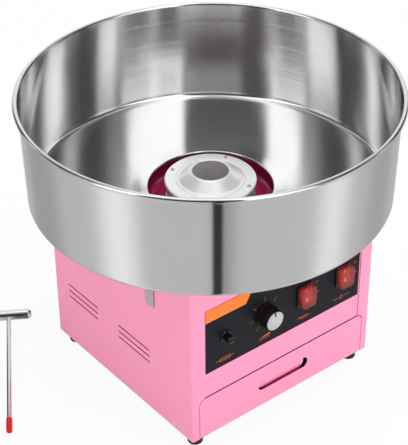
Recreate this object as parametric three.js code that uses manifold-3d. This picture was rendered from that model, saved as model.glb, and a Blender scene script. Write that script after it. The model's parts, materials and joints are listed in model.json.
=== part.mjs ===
// Electric cotton candy machine. A sheet-steel body carries a control panel and a sugar
// drawer; a motor inside it spins a heated head in a well on top; a stainless bowl stands
// round the head and lifts off. A sugar scoop lies on the floor at the left.
// Millimetres, +Z up. The origin is the middle of the pressed panel in the bottom plate, on
// its underside and on the head's axis. The front faces -Y.
import * as THREE from 'three';
import { mergeVertices } from 'three/addons/utils/BufferGeometryUtils.js';
import Module from 'manifold-3d';

const wasm = await Module();
wasm.setup();

// Driving dimensions: body
const BODY_WIDTH = 322.4;
const BODY_DEPTH = 319.4;
const BODY_HEIGHT = 260.5;
const BODY_SHEET = 1.2;
const BODY_BEND_RADIUS = 3;
const FRONT_FLANGE_WIDTH = 20.9;
const TOP_FLANGE_WIDTH = 14;
const SEAT_GAP = 0.3;
const RETURN_FLANGE = 10;
const PRESSED_SIZE = 200;
const PRESSED_DEPTH = 2;
const PRESSED_CORNER_RADIUS = 14;
const FOOT_RADIUS = 12;
const FOOT_HEIGHT = 17.5;
const FOOT_INSET = 18;

// Driving dimensions: side vents
const VENT_LENGTH = 72;
const VENT_WIDTH = 2.6;
const VENT_PITCH = 10.2;
const VENT_ROWS = 3;
const VENT_LOW_Z = 81.6;
const VENT_FRONT_Y = -30.5;
const VENT_REAR_Y = 90;

// Driving dimensions: drawer
const DRAWER_WIDTH = 297;
const DRAWER_HEIGHT = 66.7;
const DRAWER_LOW_Z = 0.5;
const DRAWER_GAP = 1;
const DRAWER_CORNER_RADIUS = 10;
const PULL_WIDTH = 90.8;
const PULL_HEIGHT = 17.8;
const PULL_Z = 36.1;
const PULL_BEND_RADIUS = 32;
const PULL_LANCE_GAP = 0.8;
const PULL_END_GAP = 8.5;
const TRAY_REAR_CLEARANCE = 23;
const TRAY_HEIGHT = 61;
const TRAY_SHEET = 1;
const TRAY_CORNER_RADIUS = 6;
const TRAY_SIDE_INSET = 3.5;
const TRAY_LIP = 10;
const GUIDE_LEDGE = 27;
const GUIDE_HEIGHT = 20;

// Driving dimensions: control panel
const PLATE_HALF_WIDTH = 137.3;
const PLATE_LOW_Z = 108.5;
const PLATE_TOP_Z = 212.6;
const PLATE_SHEET = 0.8;
const ACCENT_HEIGHT = 19.4;
const ACCENT_BOTTOM_LENGTH = 67.8;
const ACCENT_SLANT = 11.4;
const FUSE_X = -104.6;
const KNOB_X = -36.4;
const HEAT_SWITCH_X = 34.2;
const POWER_SWITCH_X = 105;
const FUSE_Z = 158.2;
const KNOB_Z = 161;
const SWITCH_Z = 159.2;
const FUSE_FLANGE_RADIUS = 9;
const FUSE_BODY_RADIUS = 6.4;
const FUSE_CAP_RADIUS = 6;
const FUSE_CAP_LENGTH = 10.5;
const FUSE_RADIUS = 2.5;
const FUSE_LENGTH = 20;
const KNOB_RADIUS = 16.6;
const KNOB_HEIGHT = 21;
const KNOB_RIBS = 24;
const KNOB_CAP_RADIUS = 14;
const KNOB_CAP_DEPTH = 1.2;
const POINTER_WIDTH = 2.6;
const POINTER_LENGTH = 6.5;
const SPINDLE_RADIUS = 3;
const REGULATOR_RADIUS = 16;
const REGULATOR_DEPTH = 18;
const SWITCH_WIDTH = 26.6;
const SWITCH_HEIGHT = 33.6;
const SWITCH_RIM = 2.9;
const SWITCH_RIM_DEPTH = 2;
const SWITCH_CASE_DEPTH = 24;
const SWITCH_WALL = 1.2;
const ROCKER_TILT_DEG = 8;
const ROCKER_OUT = 8;
const ROCKER_DISH = 4;
const ROCKER_END_GAP = 1.3;
const BOOT_DEPTH = 11;
const BOOT_WALL = 0.8;
const BOOT_EDGE = 0.3;
const BOOT_ROUND = 3;

// Driving dimensions: drive
const SHAFT_RADIUS = 5;
const SHAFT_CLEARANCE = 13;
const SHAFT_TAIL = 1;
const MOTOR_RADIUS = 47;
const MOTOR_WALL = 2.5;
const MOTOR_COVER = 8;
const MOTOR_DEPTH_BELOW_DECK = 94.8;
const MOTOR_MOUTH_GAP = 2;
const MOTOR_LIP = 1.5;
const BRACKET_SHEET = 2;
const BRACKET_DEPTH = 110;
const BRACKET_FLANGE = 20;
const STATOR_INSET = 15;
const ROTOR_RADIUS = 28;
const AIR_GAP = 0.8;
const BEARING_RADIUS = 11;
const BEARING_LENGTH = 7;
const FAN_RADIUS = 38;
const FAN_BLADES = 8;
const FAN_DEPTH = 9;
const FAN_GAP = 2;
const SLIP_RING_RADIUS = 14;
const SLIP_RING_WIDTH = 8;
const SLIP_RING_PITCH = 16;
const SLEEVE_RADIUS = 12;
const SLEEVE_LENGTH = 36;
const BRUSH_SIZE = 6;
const BRUSH_LENGTH = 18;
const BRUSH_BLOCK_WIDTH = 20;
const GLAND_X = 105;
const GLAND_Z = 110;
const GLAND_RADIUS = 9;
const GLAND_BORE = 4;

// Driving dimensions: head and well
const HEAD_RISE = 14.8;
const HEAD_HEIGHT = 34.1;
const HEAD_LEDGE_HEIGHT = 9;
const HUB_HEIGHT = 15;
const HEAD_RADIUS = 63.4;
const HEAD_SHEET = 1.2;
const CONE_RIM_RADIUS = 27.6;
const CONE_HEIGHT = 13;
const SUGAR_HOLE_RADIUS = 24.9;
const SUGAR_SLEEVE_DEPTH = 24;
const GROOVE_RADIUS = 47.3;
const GROOVE_DEPTH = 0.5;
const BAND_RADIUS = 61.2;
const BAND_SHEET = 1.2;
const BAND_SLOTS = 24;
const BAND_SLOT_WIDTH = 1.6;
const ELEMENT_RADIUS = 53;
const ELEMENT_WAVES = 16;
const ELEMENT_HEIGHT = 17;
const HEAD_SCREW_CIRCLE = 56.6;
const HEAD_SCREW_ANGLE_DEG = 29;
const HEAD_BOSS_RADIUS = 3;
const WELL_RADIUS = 91;
const WELL_FLANGE = 13;
const WELL_DEPTH_BELOW_HEAD = 8;
const WELL_NECK_RADIUS = 18;
const WELL_SHEET = 1.2;
const WELL_BEND = 2.5;
const WELL_CORNER_RADIUS = 14;
const WELL_NECK_BEND = 3;

// Driving dimensions: bowl
const BOWL_RIM_RADIUS = 260;
const BOWL_DEPTH = 149.2;
const BEAD_RADIUS = 3.5;
const BOWL_BASE_RADIUS = 250;
const BOWL_WALL_TOP_RADIUS = 253.2;
const BOWL_SHEET = 0.9;
const BOWL_CORNER_RADIUS = 8;
const BOWL_OPENING_RADIUS = 86;
const COLLAR_HEIGHT = 3;
const COLLAR_BEND = 2;
const COLLAR_FOOT_RADIUS = 104;
const GASKET_RADIUS = 128;
const GASKET_WIDTH = 8;
const GASKET_HEIGHT = 3.7;
const CLIP_WIDTH = 17.6;
const CLIP_LENGTH = 80.5;
const CLIP_SHEET = 1.2;
const CLIP_Y = 73;
const CLIP_STANDOFF = 1;
const CLIP_BEND = 3;
const CLIP_FLARE = 1.5;
const CLIP_FOOT = 16;

// Driving dimensions: scoop, lying on the floor
const SCOOP_X = -197.7;
const SCOOP_Y = 244.6;
const SCOOP_HEADING_DEG = -122.5;
const SCOOP_REACH = 256;
const CUP_RADIUS = 8;
const CUP_LENGTH = 48;
const CUP_WALL = 0.9;
const CUP_MOUTH_REACH = 13.5;
const ROD_RADIUS = 3.4;
const TIP_RADIUS = 4.5;
const TIP_LENGTH = 26;

// Roundness of turned pieces
const BOWL_SEGMENTS = 48;
const HEAD_SEGMENTS = 28;
const ROUND_SEGMENTS = 16;
const HIDDEN_SEGMENTS = 12;
const SMALL_SEGMENTS = 10;

// Levels and faces worked out from the sizes above
const INSIDE_X = BODY_WIDTH / 2 - BODY_SHEET;
const INSIDE_Y = BODY_DEPTH / 2 - BODY_SHEET;
const FRONT_Y = -BODY_DEPTH / 2;
const PANEL_FACE_Y = FRONT_Y + BODY_SHEET + SEAT_GAP;
const PANEL_BACK_Y = PANEL_FACE_Y + BODY_SHEET;
const PLATE_FACE_Y = PANEL_FACE_Y - SEAT_GAP - PLATE_SHEET;
const CONTROL_FACE_Y = PLATE_FACE_Y - SEAT_GAP;
const FLANGE_EDGE_X = BODY_WIDTH / 2 - FRONT_FLANGE_WIDTH;
const DECK_LOW_Z = BODY_HEIGHT + SEAT_GAP;
const DECK_TOP_Z = DECK_LOW_Z + BODY_SHEET;
const DRAWER_TOP_Z = DRAWER_LOW_Z + DRAWER_HEIGHT;
const PANEL_LOW_Z = DRAWER_TOP_Z + DRAWER_GAP;
const SHELF_Z = PANEL_LOW_Z + BODY_SHEET + SEAT_GAP;
const PLATE_RIM_Z = PRESSED_DEPTH;
const GUIDE_LOW_Z = PLATE_RIM_Z + BODY_SHEET + SEAT_GAP;
const TRAY_LOW_Z = GUIDE_LOW_Z + BODY_SHEET + SEAT_GAP;
const TRAY_HALF_WIDTH = DRAWER_WIDTH / 2 - TRAY_SIDE_INSET;
const TRAY_FRONT_Y = FRONT_Y + BODY_SHEET + SEAT_GAP;
const TRAY_REAR_Y = INSIDE_Y - TRAY_REAR_CLEARANCE;
const TRAY_LENGTH = TRAY_REAR_Y - TRAY_FRONT_Y;
const FLOOR_Z = -FOOT_HEIGHT;
const SHAFT_LOW_Z = SHELF_Z + BODY_SHEET + SHAFT_CLEARANCE;
const FAN_TOP_Z = SHAFT_LOW_Z + SHAFT_TAIL + FAN_DEPTH;
const MOTOR_TOP_Z = DECK_LOW_Z - MOTOR_DEPTH_BELOW_DECK;
const MOTOR_LOW_Z = FAN_TOP_Z + FAN_GAP;
const MOTOR_LENGTH = MOTOR_TOP_Z - MOTOR_LOW_Z;
const STATOR_LENGTH = MOTOR_LENGTH - 2 * STATOR_INSET;
const BRACKET_LOW_Z = MOTOR_TOP_Z + SEAT_GAP;
const BRACKET_TOP_Z = BRACKET_LOW_Z + BRACKET_SHEET;
const GASKET_LOW_Z = DECK_TOP_Z + SEAT_GAP;
const GASKET_TOP_Z = GASKET_LOW_Z + GASKET_HEIGHT;
const BOWL_UNDERSIDE_Z = GASKET_TOP_Z + SEAT_GAP;
const BOWL_RIM_Z = BOWL_UNDERSIDE_Z + BOWL_DEPTH;
const HEAD_TOP_Z = BOWL_UNDERSIDE_Z + HEAD_RISE;
const HEAD_BASE_Z = HEAD_TOP_Z - HEAD_HEIGHT;
const HEAD_LEDGE_Z = HEAD_BASE_Z + HEAD_LEDGE_HEIGHT;
const HUB_TOP_Z = HEAD_BASE_Z + HUB_HEIGHT;
const WELL_FLOOR_Z = HEAD_BASE_Z - WELL_DEPTH_BELOW_HEAD;
const CAP_UNDERSIDE_Z = HEAD_TOP_Z - HEAD_SHEET;
const BAND_TOP_Z = CAP_UNDERSIDE_Z - SEAT_GAP;
const RUNNING_GAP = 0.3;

const MATERIALS = {
  pink_enamel: { color: 0xf7a5c4, roughness: 0.35, metalness: 0 },
  rose_enamel: { color: 0xa02a60, roughness: 0.4, metalness: 0 },
  polished_steel: { color: 0xd4d6d8, roughness: 0.15, metalness: 1 },
  zinc_steel: { color: 0xb4b8bc, roughness: 0.35, metalness: 1 },
  cast_aluminium: { color: 0xc9cbcd, roughness: 0.4, metalness: 1 },
  spun_aluminium: { color: 0xe0e1e3, roughness: 0.25, metalness: 1 },
  brass: { color: 0xc9a35a, roughness: 0.3, metalness: 1 },
  copper: { color: 0xb87346, roughness: 0.4, metalness: 1 },
  nichrome: { color: 0x8a8480, roughness: 0.5, metalness: 1 },
  plate_black: { color: 0x2a282e, roughness: 0.45, metalness: 0 },
  accent_orange: { color: 0xff821e, roughness: 0.45, metalness: 0 },
  black_plastic: { color: 0x141416, roughness: 0.4, metalness: 0 },
  red_plastic: { color: 0xd8322c, roughness: 0.3, metalness: 0 },
  clear_plastic: { color: 0xe8eef0, roughness: 0.1, metalness: 0 },
  knob_silver: { color: 0xd9dadc, roughness: 0.3, metalness: 1 },
  glass: { color: 0xe4eef0, roughness: 0.05, metalness: 0 },
  rubber: { color: 0x1a1a1b, roughness: 0.8, metalness: 0 },
  carbon: { color: 0x2e2d2c, roughness: 0.7, metalness: 0 },
  white_plastic: { color: 0xe6e4de, roughness: 0.5, metalness: 0 },
};

const machine = new THREE.Group();
const madeMaterials = {};

function material(name) {
  if (!madeMaterials[name]) {
    madeMaterials[name] = new THREE.MeshStandardMaterial({ name, ...MATERIALS[name] });
  }
  return madeMaterials[name];
}

// Adds one named piece, placed by its position and rotation
function piece(name, geometry, materialName, place = [0, 0, 0], turn = [0, 0, 0]) {
  const mesh = new THREE.Mesh(geometry, material(materialName));
  mesh.name = name;
  mesh.position.set(...place);
  mesh.rotation.set(...turn);
  machine.add(mesh);
  return mesh;
}

// One closed body with shared vertices, no slivers at the axis and faces pointing out
function weld(geometry) {
  const bare = geometry.clone();
  bare.deleteAttribute('normal');
  bare.deleteAttribute('uv');
  const merged = mergeVertices(bare, 1e-4);
  const position = merged.attributes.position;
  const source = merged.index.array;
  const index = [];
  const a = new THREE.Vector3();
  const b = new THREE.Vector3();
  const c = new THREE.Vector3();
  let volume = 0;
  for (let i = 0; i < source.length; i += 3) {
    const [p, q, r] = [source[i], source[i + 1], source[i + 2]];
    if (p === q || q === r || r === p) continue;
    index.push(p, q, r);
    a.fromBufferAttribute(position, p);
    b.fromBufferAttribute(position, q);
    c.fromBufferAttribute(position, r);
    volume += a.dot(b.cross(c));
  }
  if (volume < 0) index.reverse();
  const welded = new THREE.BufferGeometry();
  welded.setAttribute('position', position);
  welded.setIndex(index);
  return welded;
}

function toSolid(geometry) {
  const welded = weld(geometry);
  return new wasm.Manifold(new wasm.Mesh({
    numProp: 3,
    vertProperties: new Float32Array(welded.attributes.position.array),
    triVerts: new Uint32Array(welded.index.array),
  }));
}

function toGeometry(solid) {
  const mesh = solid.getMesh();
  const geometry = new THREE.BufferGeometry();
  geometry.setAttribute('position', new THREE.BufferAttribute(mesh.vertProperties, 3));
  geometry.setIndex(new THREE.BufferAttribute(mesh.triVerts, 1));
  return geometry;
}

function join(...geometries) {
  return toGeometry(geometries.map(toSolid).reduce((sum, next) => sum.add(next)));
}

function cut(base, ...tools) {
  return toGeometry(tools.map(toSolid).reduce((rest, tool) => rest.subtract(tool), toSolid(base)));
}

function box(lowX, highX, lowY, highY, lowZ, highZ) {
  const geometry = new THREE.BoxGeometry(highX - lowX, highY - lowY, highZ - lowZ);
  return geometry.translate((lowX + highX) / 2, (lowY + highY) / 2, (lowZ + highZ) / 2);
}

// A rectangle with round corners, drawn about a centre
function roundedRectangle(width, height, radius, centreX = 0, centreY = 0) {
  const shape = new THREE.Shape();
  const [x, y] = [centreX - width / 2, centreY - height / 2];
  shape.moveTo(x + radius, y);
  shape.lineTo(x + width - radius, y);
  shape.absarc(x + width - radius, y + radius, radius, -Math.PI / 2, 0);
  shape.lineTo(x + width, y + height - radius);
  shape.absarc(x + width - radius, y + height - radius, radius, 0, Math.PI / 2);
  shape.lineTo(x + radius, y + height);
  shape.absarc(x + radius, y + height - radius, radius, Math.PI / 2, Math.PI);
  shape.lineTo(x, y + radius);
  shape.absarc(x + radius, y + radius, radius, Math.PI, Math.PI * 1.5);
  return shape;
}

function extrude(shape, depth, curveSegments = 3) {
  return new THREE.ExtrudeGeometry(shape, { depth, bevelEnabled: false, curveSegments });
}

// A shape drawn in plan, raised from one level to another
function raised(shape, lowZ, highZ, curveSegments) {
  return extrude(shape, highZ - lowZ, curveSegments).translate(0, 0, lowZ);
}

// A shape drawn in front view (x, z), from one depth to another
function fronted(shape, lowY, highY, curveSegments) {
  return extrude(shape, highY - lowY, curveSegments).rotateX(Math.PI / 2).translate(0, highY, 0);
}

// A shape drawn in side view (y, z), from one x to another
function sided(shape, lowX, highX, curveSegments) {
  const geometry = extrude(shape, highX - lowX, curveSegments);
  return geometry.rotateX(Math.PI / 2).rotateZ(Math.PI / 2).translate(lowX, 0, 0);
}

// A closed outline of [radius, level] points turned round the Z axis
function turned(outline, segments = ROUND_SEGMENTS) {
  const points = outline.map(([r, z]) => new THREE.Vector2(r, z));
  points.push(points[0].clone());
  return weld(new THREE.LatheGeometry(points, segments).rotateX(Math.PI / 2));
}

// The same round the axis that points out of the front panel: [radius, distance out]
function turnedFront(outline, segments = ROUND_SEGMENTS) {
  return weld(turned(outline, segments).rotateX(Math.PI / 2));
}

function rod(radius, low, high, segments = SMALL_SEGMENTS) {
  return turned([[0, low], [radius, low], [radius, high], [0, high]], segments);
}

function frontRod(radius, low, high, segments = SMALL_SEGMENTS) {
  return turnedFront([[0, low], [radius, low], [radius, high], [0, high]], segments);
}

function tube(outer, inner, low, high, segments = HIDDEN_SEGMENTS) {
  return turned([[inner, low], [outer, low], [outer, high], [inner, high]], segments);
}

// Points on an arc, both ends included; angles in degrees
function arc(centreR, centreZ, radius, startDeg, endDeg, steps) {
  const points = [];
  for (let i = 0; i <= steps; i += 1) {
    const angle = THREE.MathUtils.degToRad(startDeg + ((endDeg - startDeg) * i) / steps);
    points.push([centreR + radius * Math.cos(angle), centreZ + radius * Math.sin(angle)]);
  }
  return points;
}

// The outline of a sheet of one thickness that follows a centre line
function sheetOutline(path, thickness) {
  const left = [];
  const right = [];
  for (let i = 0; i < path.length; i += 1) {
    const before = path[Math.max(i - 1, 0)];
    const after = path[Math.min(i + 1, path.length - 1)];
    const here = path[i];
    const directionIn = new THREE.Vector2(here[0] - before[0], here[1] - before[1]);
    const directionOut = new THREE.Vector2(after[0] - here[0], after[1] - here[1]);
    if (i === 0) directionIn.copy(directionOut);
    if (i === path.length - 1) directionOut.copy(directionIn);
    directionIn.normalize();
    directionOut.normalize();
    const middle = directionIn.clone().add(directionOut).normalize();
    const half = thickness / 2 / middle.dot(directionIn);
    left.push([here[0] - middle.y * half, here[1] + middle.x * half]);
    right.push([here[0] + middle.y * half, here[1] - middle.x * half]);
  }
  return [...left, ...right.reverse()];
}

// A bar through sections of four corners each, closed at both ends
function loft(sections) {
  const positions = sections.flat(2);
  const index = [];
  for (let row = 0; row + 1 < sections.length; row += 1) {
    for (let side = 0; side < 4; side += 1) {
      const a = row * 4 + side;
      const b = row * 4 + ((side + 1) % 4);
      index.push(a, b, b + 4, a, b + 4, a + 4);
    }
  }
  const last = (sections.length - 1) * 4;
  index.push(0, 2, 1, 0, 3, 2);
  index.push(last, last + 1, last + 2, last, last + 2, last + 3);
  const geometry = new THREE.BufferGeometry();
  geometry.setAttribute('position', new THREE.Float32BufferAttribute(positions, 3));
  geometry.setIndex(index);
  return weld(geometry);
}

function hexNut(acrossFlats, height, boreRadius) {
  const radius = acrossFlats / Math.sqrt(3);
  const shape = new THREE.Shape();
  for (let i = 0; i < 6; i += 1) {
    const angle = (i * Math.PI) / 3;
    const point = [radius * Math.cos(angle), radius * Math.sin(angle)];
    if (i === 0) shape.moveTo(...point);
    else shape.lineTo(...point);
  }
  shape.holes.push(new THREE.Path().absarc(0, 0, boreRadius, 0, Math.PI * 2, true));
  return raised(shape, 0, height, 8);
}

// Four places in a rectangle about the axis
function fourCorners(x, y, z) {
  return [[-x, -y, z], [x, -y, z], [-x, y, z], [x, y, z]];
}

function onCircle(radius, count, startDeg, z) {
  return Array.from({ length: count }, (_, i) => {
    const angle = THREE.MathUtils.degToRad(startDeg + (i * 360) / count);
    return [radius * Math.cos(angle), radius * Math.sin(angle), z];
  });
}

// Rubber feet with a screw recess, under the bottom plate
const FOOT_X = BODY_WIDTH / 2 - FOOT_INSET;
const FOOT_Y = BODY_DEPTH / 2 - FOOT_INSET;

function makeFeet() {
  const recessZ = FLOOR_Z + FOOT_HEIGHT * 0.35;
  const footTop = PLATE_RIM_Z - SEAT_GAP;
  const foot = turned([
    [0, recessZ], [FOOT_RADIUS * 0.45, recessZ], [FOOT_RADIUS * 0.45, FLOOR_Z],
    [FOOT_RADIUS * 0.88, FLOOR_Z], [FOOT_RADIUS, footTop - 3], [FOOT_RADIUS * 0.94, footTop],
    [0, footTop],
  ], HIDDEN_SEGMENTS);
  const names = ['foot_front_left', 'foot_front_right', 'foot_rear_left', 'foot_rear_right'];
  fourCorners(FOOT_X, FOOT_Y, 0).forEach((place, i) => piece(names[i], foot, 'rubber', place));
}

function ventSlots(side) {
  const slots = [];
  for (const centreY of [VENT_FRONT_Y, VENT_REAR_Y]) {
    for (let row = 0; row < VENT_ROWS; row += 1) {
      const z = VENT_LOW_Z + row * VENT_PITCH;
      const outline = roundedRectangle(VENT_LENGTH, VENT_WIDTH, VENT_WIDTH / 2 - 0.01, centreY, z);
      const x = side * (BODY_WIDTH / 2);
      slots.push(sided(outline, x - 2 * BODY_SHEET, x + 2 * BODY_SHEET, 1));
    }
  }
  return slots;
}

// Wrapper of the body: both sides and the back in one sheet, with flanges turned in at
// the front and the top, side vents, a notch for the drawer and a hole for the cable gland
function makeBodyShell() {
  const outline = roundedRectangle(BODY_WIDTH, BODY_DEPTH, BODY_BEND_RADIUS);
  const hollow = roundedRectangle(2 * INSIDE_X, 2 * INSIDE_Y, BODY_BEND_RADIUS - BODY_SHEET);
  const topHole = roundedRectangle(
    2 * (INSIDE_X - TOP_FLANGE_WIDTH), 2 * (INSIDE_Y - TOP_FLANGE_WIDTH), BODY_BEND_RADIUS,
  );
  const frontTop = FRONT_Y + 2 * TOP_FLANGE_WIDTH;
  const shell = cut(
    raised(outline, 0, BODY_HEIGHT),
    raised(hollow, -1, BODY_HEIGHT - BODY_SHEET),
    raised(topHole, BODY_HEIGHT - 2 * BODY_SHEET, BODY_HEIGHT + 1),
    box(-FLANGE_EDGE_X, FLANGE_EDGE_X, FRONT_Y - 1, frontTop, -1, BODY_HEIGHT + 1),
    fronted(
      roundedRectangle(
        DRAWER_WIDTH + 2 * DRAWER_GAP, 2 * (DRAWER_TOP_Z + DRAWER_GAP), DRAWER_CORNER_RADIUS,
      ),
      FRONT_Y - 1, FRONT_Y + 2 * BODY_SHEET, 4,
    ),
    frontRod(GLAND_RADIUS * 0.75 + SEAT_GAP, -INSIDE_Y - 3, -INSIDE_Y + 3, HIDDEN_SEGMENTS)
      .translate(GLAND_X, 0, GLAND_Z),
    ...ventSlots(-1),
    ...ventSlots(1),
  );
  piece('body_shell', shell, 'pink_enamel');
}

function makeDeck() {
  const outline = roundedRectangle(
    BODY_WIDTH - 2 * BODY_SHEET, BODY_DEPTH - 2 * BODY_SHEET, BODY_BEND_RADIUS,
  );
  const holeRadius = WELL_RADIUS + WELL_SHEET + WELL_BEND;
  const hole = rod(holeRadius, DECK_LOW_Z - 1, DECK_TOP_Z + 1, HEAD_SEGMENTS);
  piece('top_deck', cut(raised(outline, DECK_LOW_Z, DECK_TOP_Z), hole), 'pink_enamel');
}

// A flat plate with its left, right and rear edges turned up
function trayPlate(lowZ, flangeHeight, frontY) {
  const halfX = INSIDE_X - SEAT_GAP;
  const rearY = INSIDE_Y - SEAT_GAP;
  const depth = rearY - frontY;
  const centreY = (rearY + frontY) / 2;
  const outer = roundedRectangle(2 * halfX, depth, BODY_BEND_RADIUS, 0, centreY);
  const inner = roundedRectangle(
    2 * (halfX - BODY_SHEET), depth + 20, BODY_BEND_RADIUS, 0, centreY - 10 - BODY_SHEET,
  );
  return cut(
    raised(outer, lowZ, lowZ + flangeHeight),
    raised(inner, lowZ + BODY_SHEET, lowZ + flangeHeight + 1),
  );
}

// The bottom plate has a panel pressed down in its middle, and its rim carries the feet
function makeFloors() {
  const pressedInside = PRESSED_SIZE - 2 * BODY_SHEET;
  const pressed = roundedRectangle(PRESSED_SIZE, PRESSED_SIZE, PRESSED_CORNER_RADIUS);
  const hollow = roundedRectangle(
    pressedInside, pressedInside, PRESSED_CORNER_RADIUS - BODY_SHEET,
  );
  const plate = cut(
    join(
      trayPlate(PLATE_RIM_Z, RETURN_FLANGE, -INSIDE_Y + SEAT_GAP),
      raised(pressed, 0, PLATE_RIM_Z + BODY_SHEET),
    ),
    raised(hollow, BODY_SHEET, PLATE_RIM_Z + 2 * BODY_SHEET),
  );
  piece('bottom_plate', plate, 'zinc_steel');
  const shelfFrontY = PANEL_BACK_Y + SEAT_GAP;
  piece('drawer_shelf', trayPlate(SHELF_Z, RETURN_FLANGE, shelfFrontY), 'zinc_steel');
}

// Angles along both sides of the bay, whose ledges carry the drawer
function makeGuides() {
  const wallX = INSIDE_X - 2 * SEAT_GAP - BODY_SHEET;
  for (const [name, side] of [['drawer_guide_left', -1], ['drawer_guide_right', 1]]) {
    const angle = join(
      box(wallX - GUIDE_LEDGE, wallX, TRAY_FRONT_Y, TRAY_REAR_Y, 0, BODY_SHEET),
      box(wallX - BODY_SHEET, wallX, TRAY_FRONT_Y, TRAY_REAR_Y, 0, GUIDE_HEIGHT),
    );
    const placed = side < 0 ? angle.rotateZ(Math.PI).translate(0, TRAY_FRONT_Y + TRAY_REAR_Y, 0) : angle;
    piece(name, placed, 'zinc_steel', [0, 0, GUIDE_LOW_Z]);
  }
}

// Drawer front with a lanced pull: the sheet cut free along the slot stays joined at its
// top edge and curls inward, stopping short of the slot's right end, and fingers go in
// under it and hook behind the sheet below
function makeDrawerFront() {
  const face = new THREE.Shape();
  const halfWidth = DRAWER_WIDTH / 2;
  face.moveTo(-halfWidth, DRAWER_LOW_Z);
  face.lineTo(halfWidth, DRAWER_LOW_Z);
  const cornerX = halfWidth - DRAWER_CORNER_RADIUS;
  const cornerZ = DRAWER_TOP_Z - DRAWER_CORNER_RADIUS;
  face.absarc(cornerX, cornerZ, DRAWER_CORNER_RADIUS, 0, Math.PI / 2);
  face.absarc(-cornerX, cornerZ, DRAWER_CORNER_RADIUS, Math.PI / 2, Math.PI);
  const slotRadius = PULL_HEIGHT / 2 - 0.01;
  face.holes.push(roundedRectangle(PULL_WIDTH, PULL_HEIGHT, slotRadius, 0, PULL_Z));
  const sheet = fronted(face, 0, BODY_SHEET, 6);

  const sections = [];
  const steps = 10;
  const topZ = PULL_Z + PULL_HEIGHT / 2;
  const length = PULL_HEIGHT - PULL_LANCE_GAP;
  for (let i = 0; i <= steps; i += 1) {
    const reach = (length * i) / steps;
    const angle = reach / PULL_BEND_RADIUS;
    const drop = Math.max(slotRadius - reach, -slotRadius);
    const leftSpan = PULL_WIDTH / 2 - slotRadius - PULL_LANCE_GAP
      + Math.sqrt(Math.max(slotRadius ** 2 - drop ** 2, 0));
    const rightSpan = Math.min(leftSpan, PULL_WIDTH / 2 - PULL_END_GAP);
    const outY = PULL_BEND_RADIUS - PULL_BEND_RADIUS * Math.cos(angle);
    const outZ = topZ - PULL_BEND_RADIUS * Math.sin(angle);
    const inY = PULL_BEND_RADIUS - (PULL_BEND_RADIUS - BODY_SHEET) * Math.cos(angle);
    const inZ = topZ - (PULL_BEND_RADIUS - BODY_SHEET) * Math.sin(angle);
    sections.push([
      [-leftSpan, outY, outZ], [rightSpan, outY, outZ], [rightSpan, inY, inZ], [-leftSpan, inY, inZ],
    ]);
  }
  const root = sections[0].map(([x, y, z]) => [x, y, z + BODY_SHEET]);
  piece('drawer_front', join(sheet, loft([root, ...sections])), 'pink_enamel', [0, FRONT_Y, 0]);
}

function makeTray() {
  const width = 2 * TRAY_HALF_WIDTH;
  const centreY = TRAY_LENGTH / 2;
  const outer = roundedRectangle(width, TRAY_LENGTH, TRAY_CORNER_RADIUS, 0, centreY);
  const inner = roundedRectangle(
    width - 2 * TRAY_SHEET, TRAY_LENGTH - 2 * TRAY_SHEET, TRAY_CORNER_RADIUS - TRAY_SHEET, 0, centreY,
  );
  const opening = TRAY_HALF_WIDTH - 2 * TRAY_LIP;
  const tray = cut(
    raised(outer, 0, TRAY_HEIGHT),
    raised(inner, TRAY_SHEET, TRAY_HEIGHT + 1),
    box(-opening, opening, -1, 2 * TRAY_SHEET, TRAY_LIP, TRAY_HEIGHT + 1),
  );
  piece('drawer_tray', tray, 'zinc_steel', [0, TRAY_FRONT_Y, TRAY_LOW_Z]);
}

// Cut-outs that the front panel and the control plate share
const SWITCH_CASE_WIDTH = SWITCH_WIDTH - 2 * SWITCH_RIM + 2 * SWITCH_WALL;
const SWITCH_CASE_HEIGHT = SWITCH_HEIGHT - 2 * SWITCH_RIM + 2 * SWITCH_WALL;

function controlCutouts() {
  const [lowY, highY] = [PLATE_FACE_Y - 2, PANEL_BACK_Y + 2];
  const cutouts = [HEAT_SWITCH_X, POWER_SWITCH_X].map((x) => box(
    x - SWITCH_CASE_WIDTH / 2 - SEAT_GAP, x + SWITCH_CASE_WIDTH / 2 + SEAT_GAP, lowY, highY,
    SWITCH_Z - SWITCH_CASE_HEIGHT / 2 - SEAT_GAP, SWITCH_Z + SWITCH_CASE_HEIGHT / 2 + SEAT_GAP,
  ));
  const fuseHole = frontRod(FUSE_BODY_RADIUS + SEAT_GAP, -highY, -lowY, ROUND_SEGMENTS);
  const spindleHole = frontRod(SPINDLE_RADIUS + 2.5, -highY, -lowY);
  cutouts.push(fuseHole.translate(FUSE_X, 0, FUSE_Z));
  cutouts.push(spindleHole.translate(KNOB_X, 0, KNOB_Z));
  return cutouts;
}

// Front panel behind the flanges, its lower and upper edges turned in
function makeFrontPanel() {
  const halfX = INSIDE_X - BODY_BEND_RADIUS;
  const topZ = BODY_HEIGHT;
  const panel = join(
    box(-halfX, halfX, PANEL_FACE_Y, PANEL_BACK_Y, PANEL_LOW_Z, topZ - BODY_SHEET - SEAT_GAP),
    box(-halfX, halfX, PANEL_FACE_Y, PANEL_FACE_Y + RETURN_FLANGE, PANEL_LOW_Z, PANEL_LOW_Z + BODY_SHEET),
    box(-FLANGE_EDGE_X + SEAT_GAP, FLANGE_EDGE_X - SEAT_GAP, PANEL_FACE_Y, PANEL_BACK_Y, PANEL_LOW_Z, topZ),
    box(
      -FLANGE_EDGE_X + SEAT_GAP, FLANGE_EDGE_X - SEAT_GAP, PANEL_FACE_Y,
      PANEL_FACE_Y + TOP_FLANGE_WIDTH, topZ - BODY_SHEET, topZ,
    ),
  );
  piece('front_panel', cut(panel, ...controlCutouts()), 'pink_enamel');
}

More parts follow.
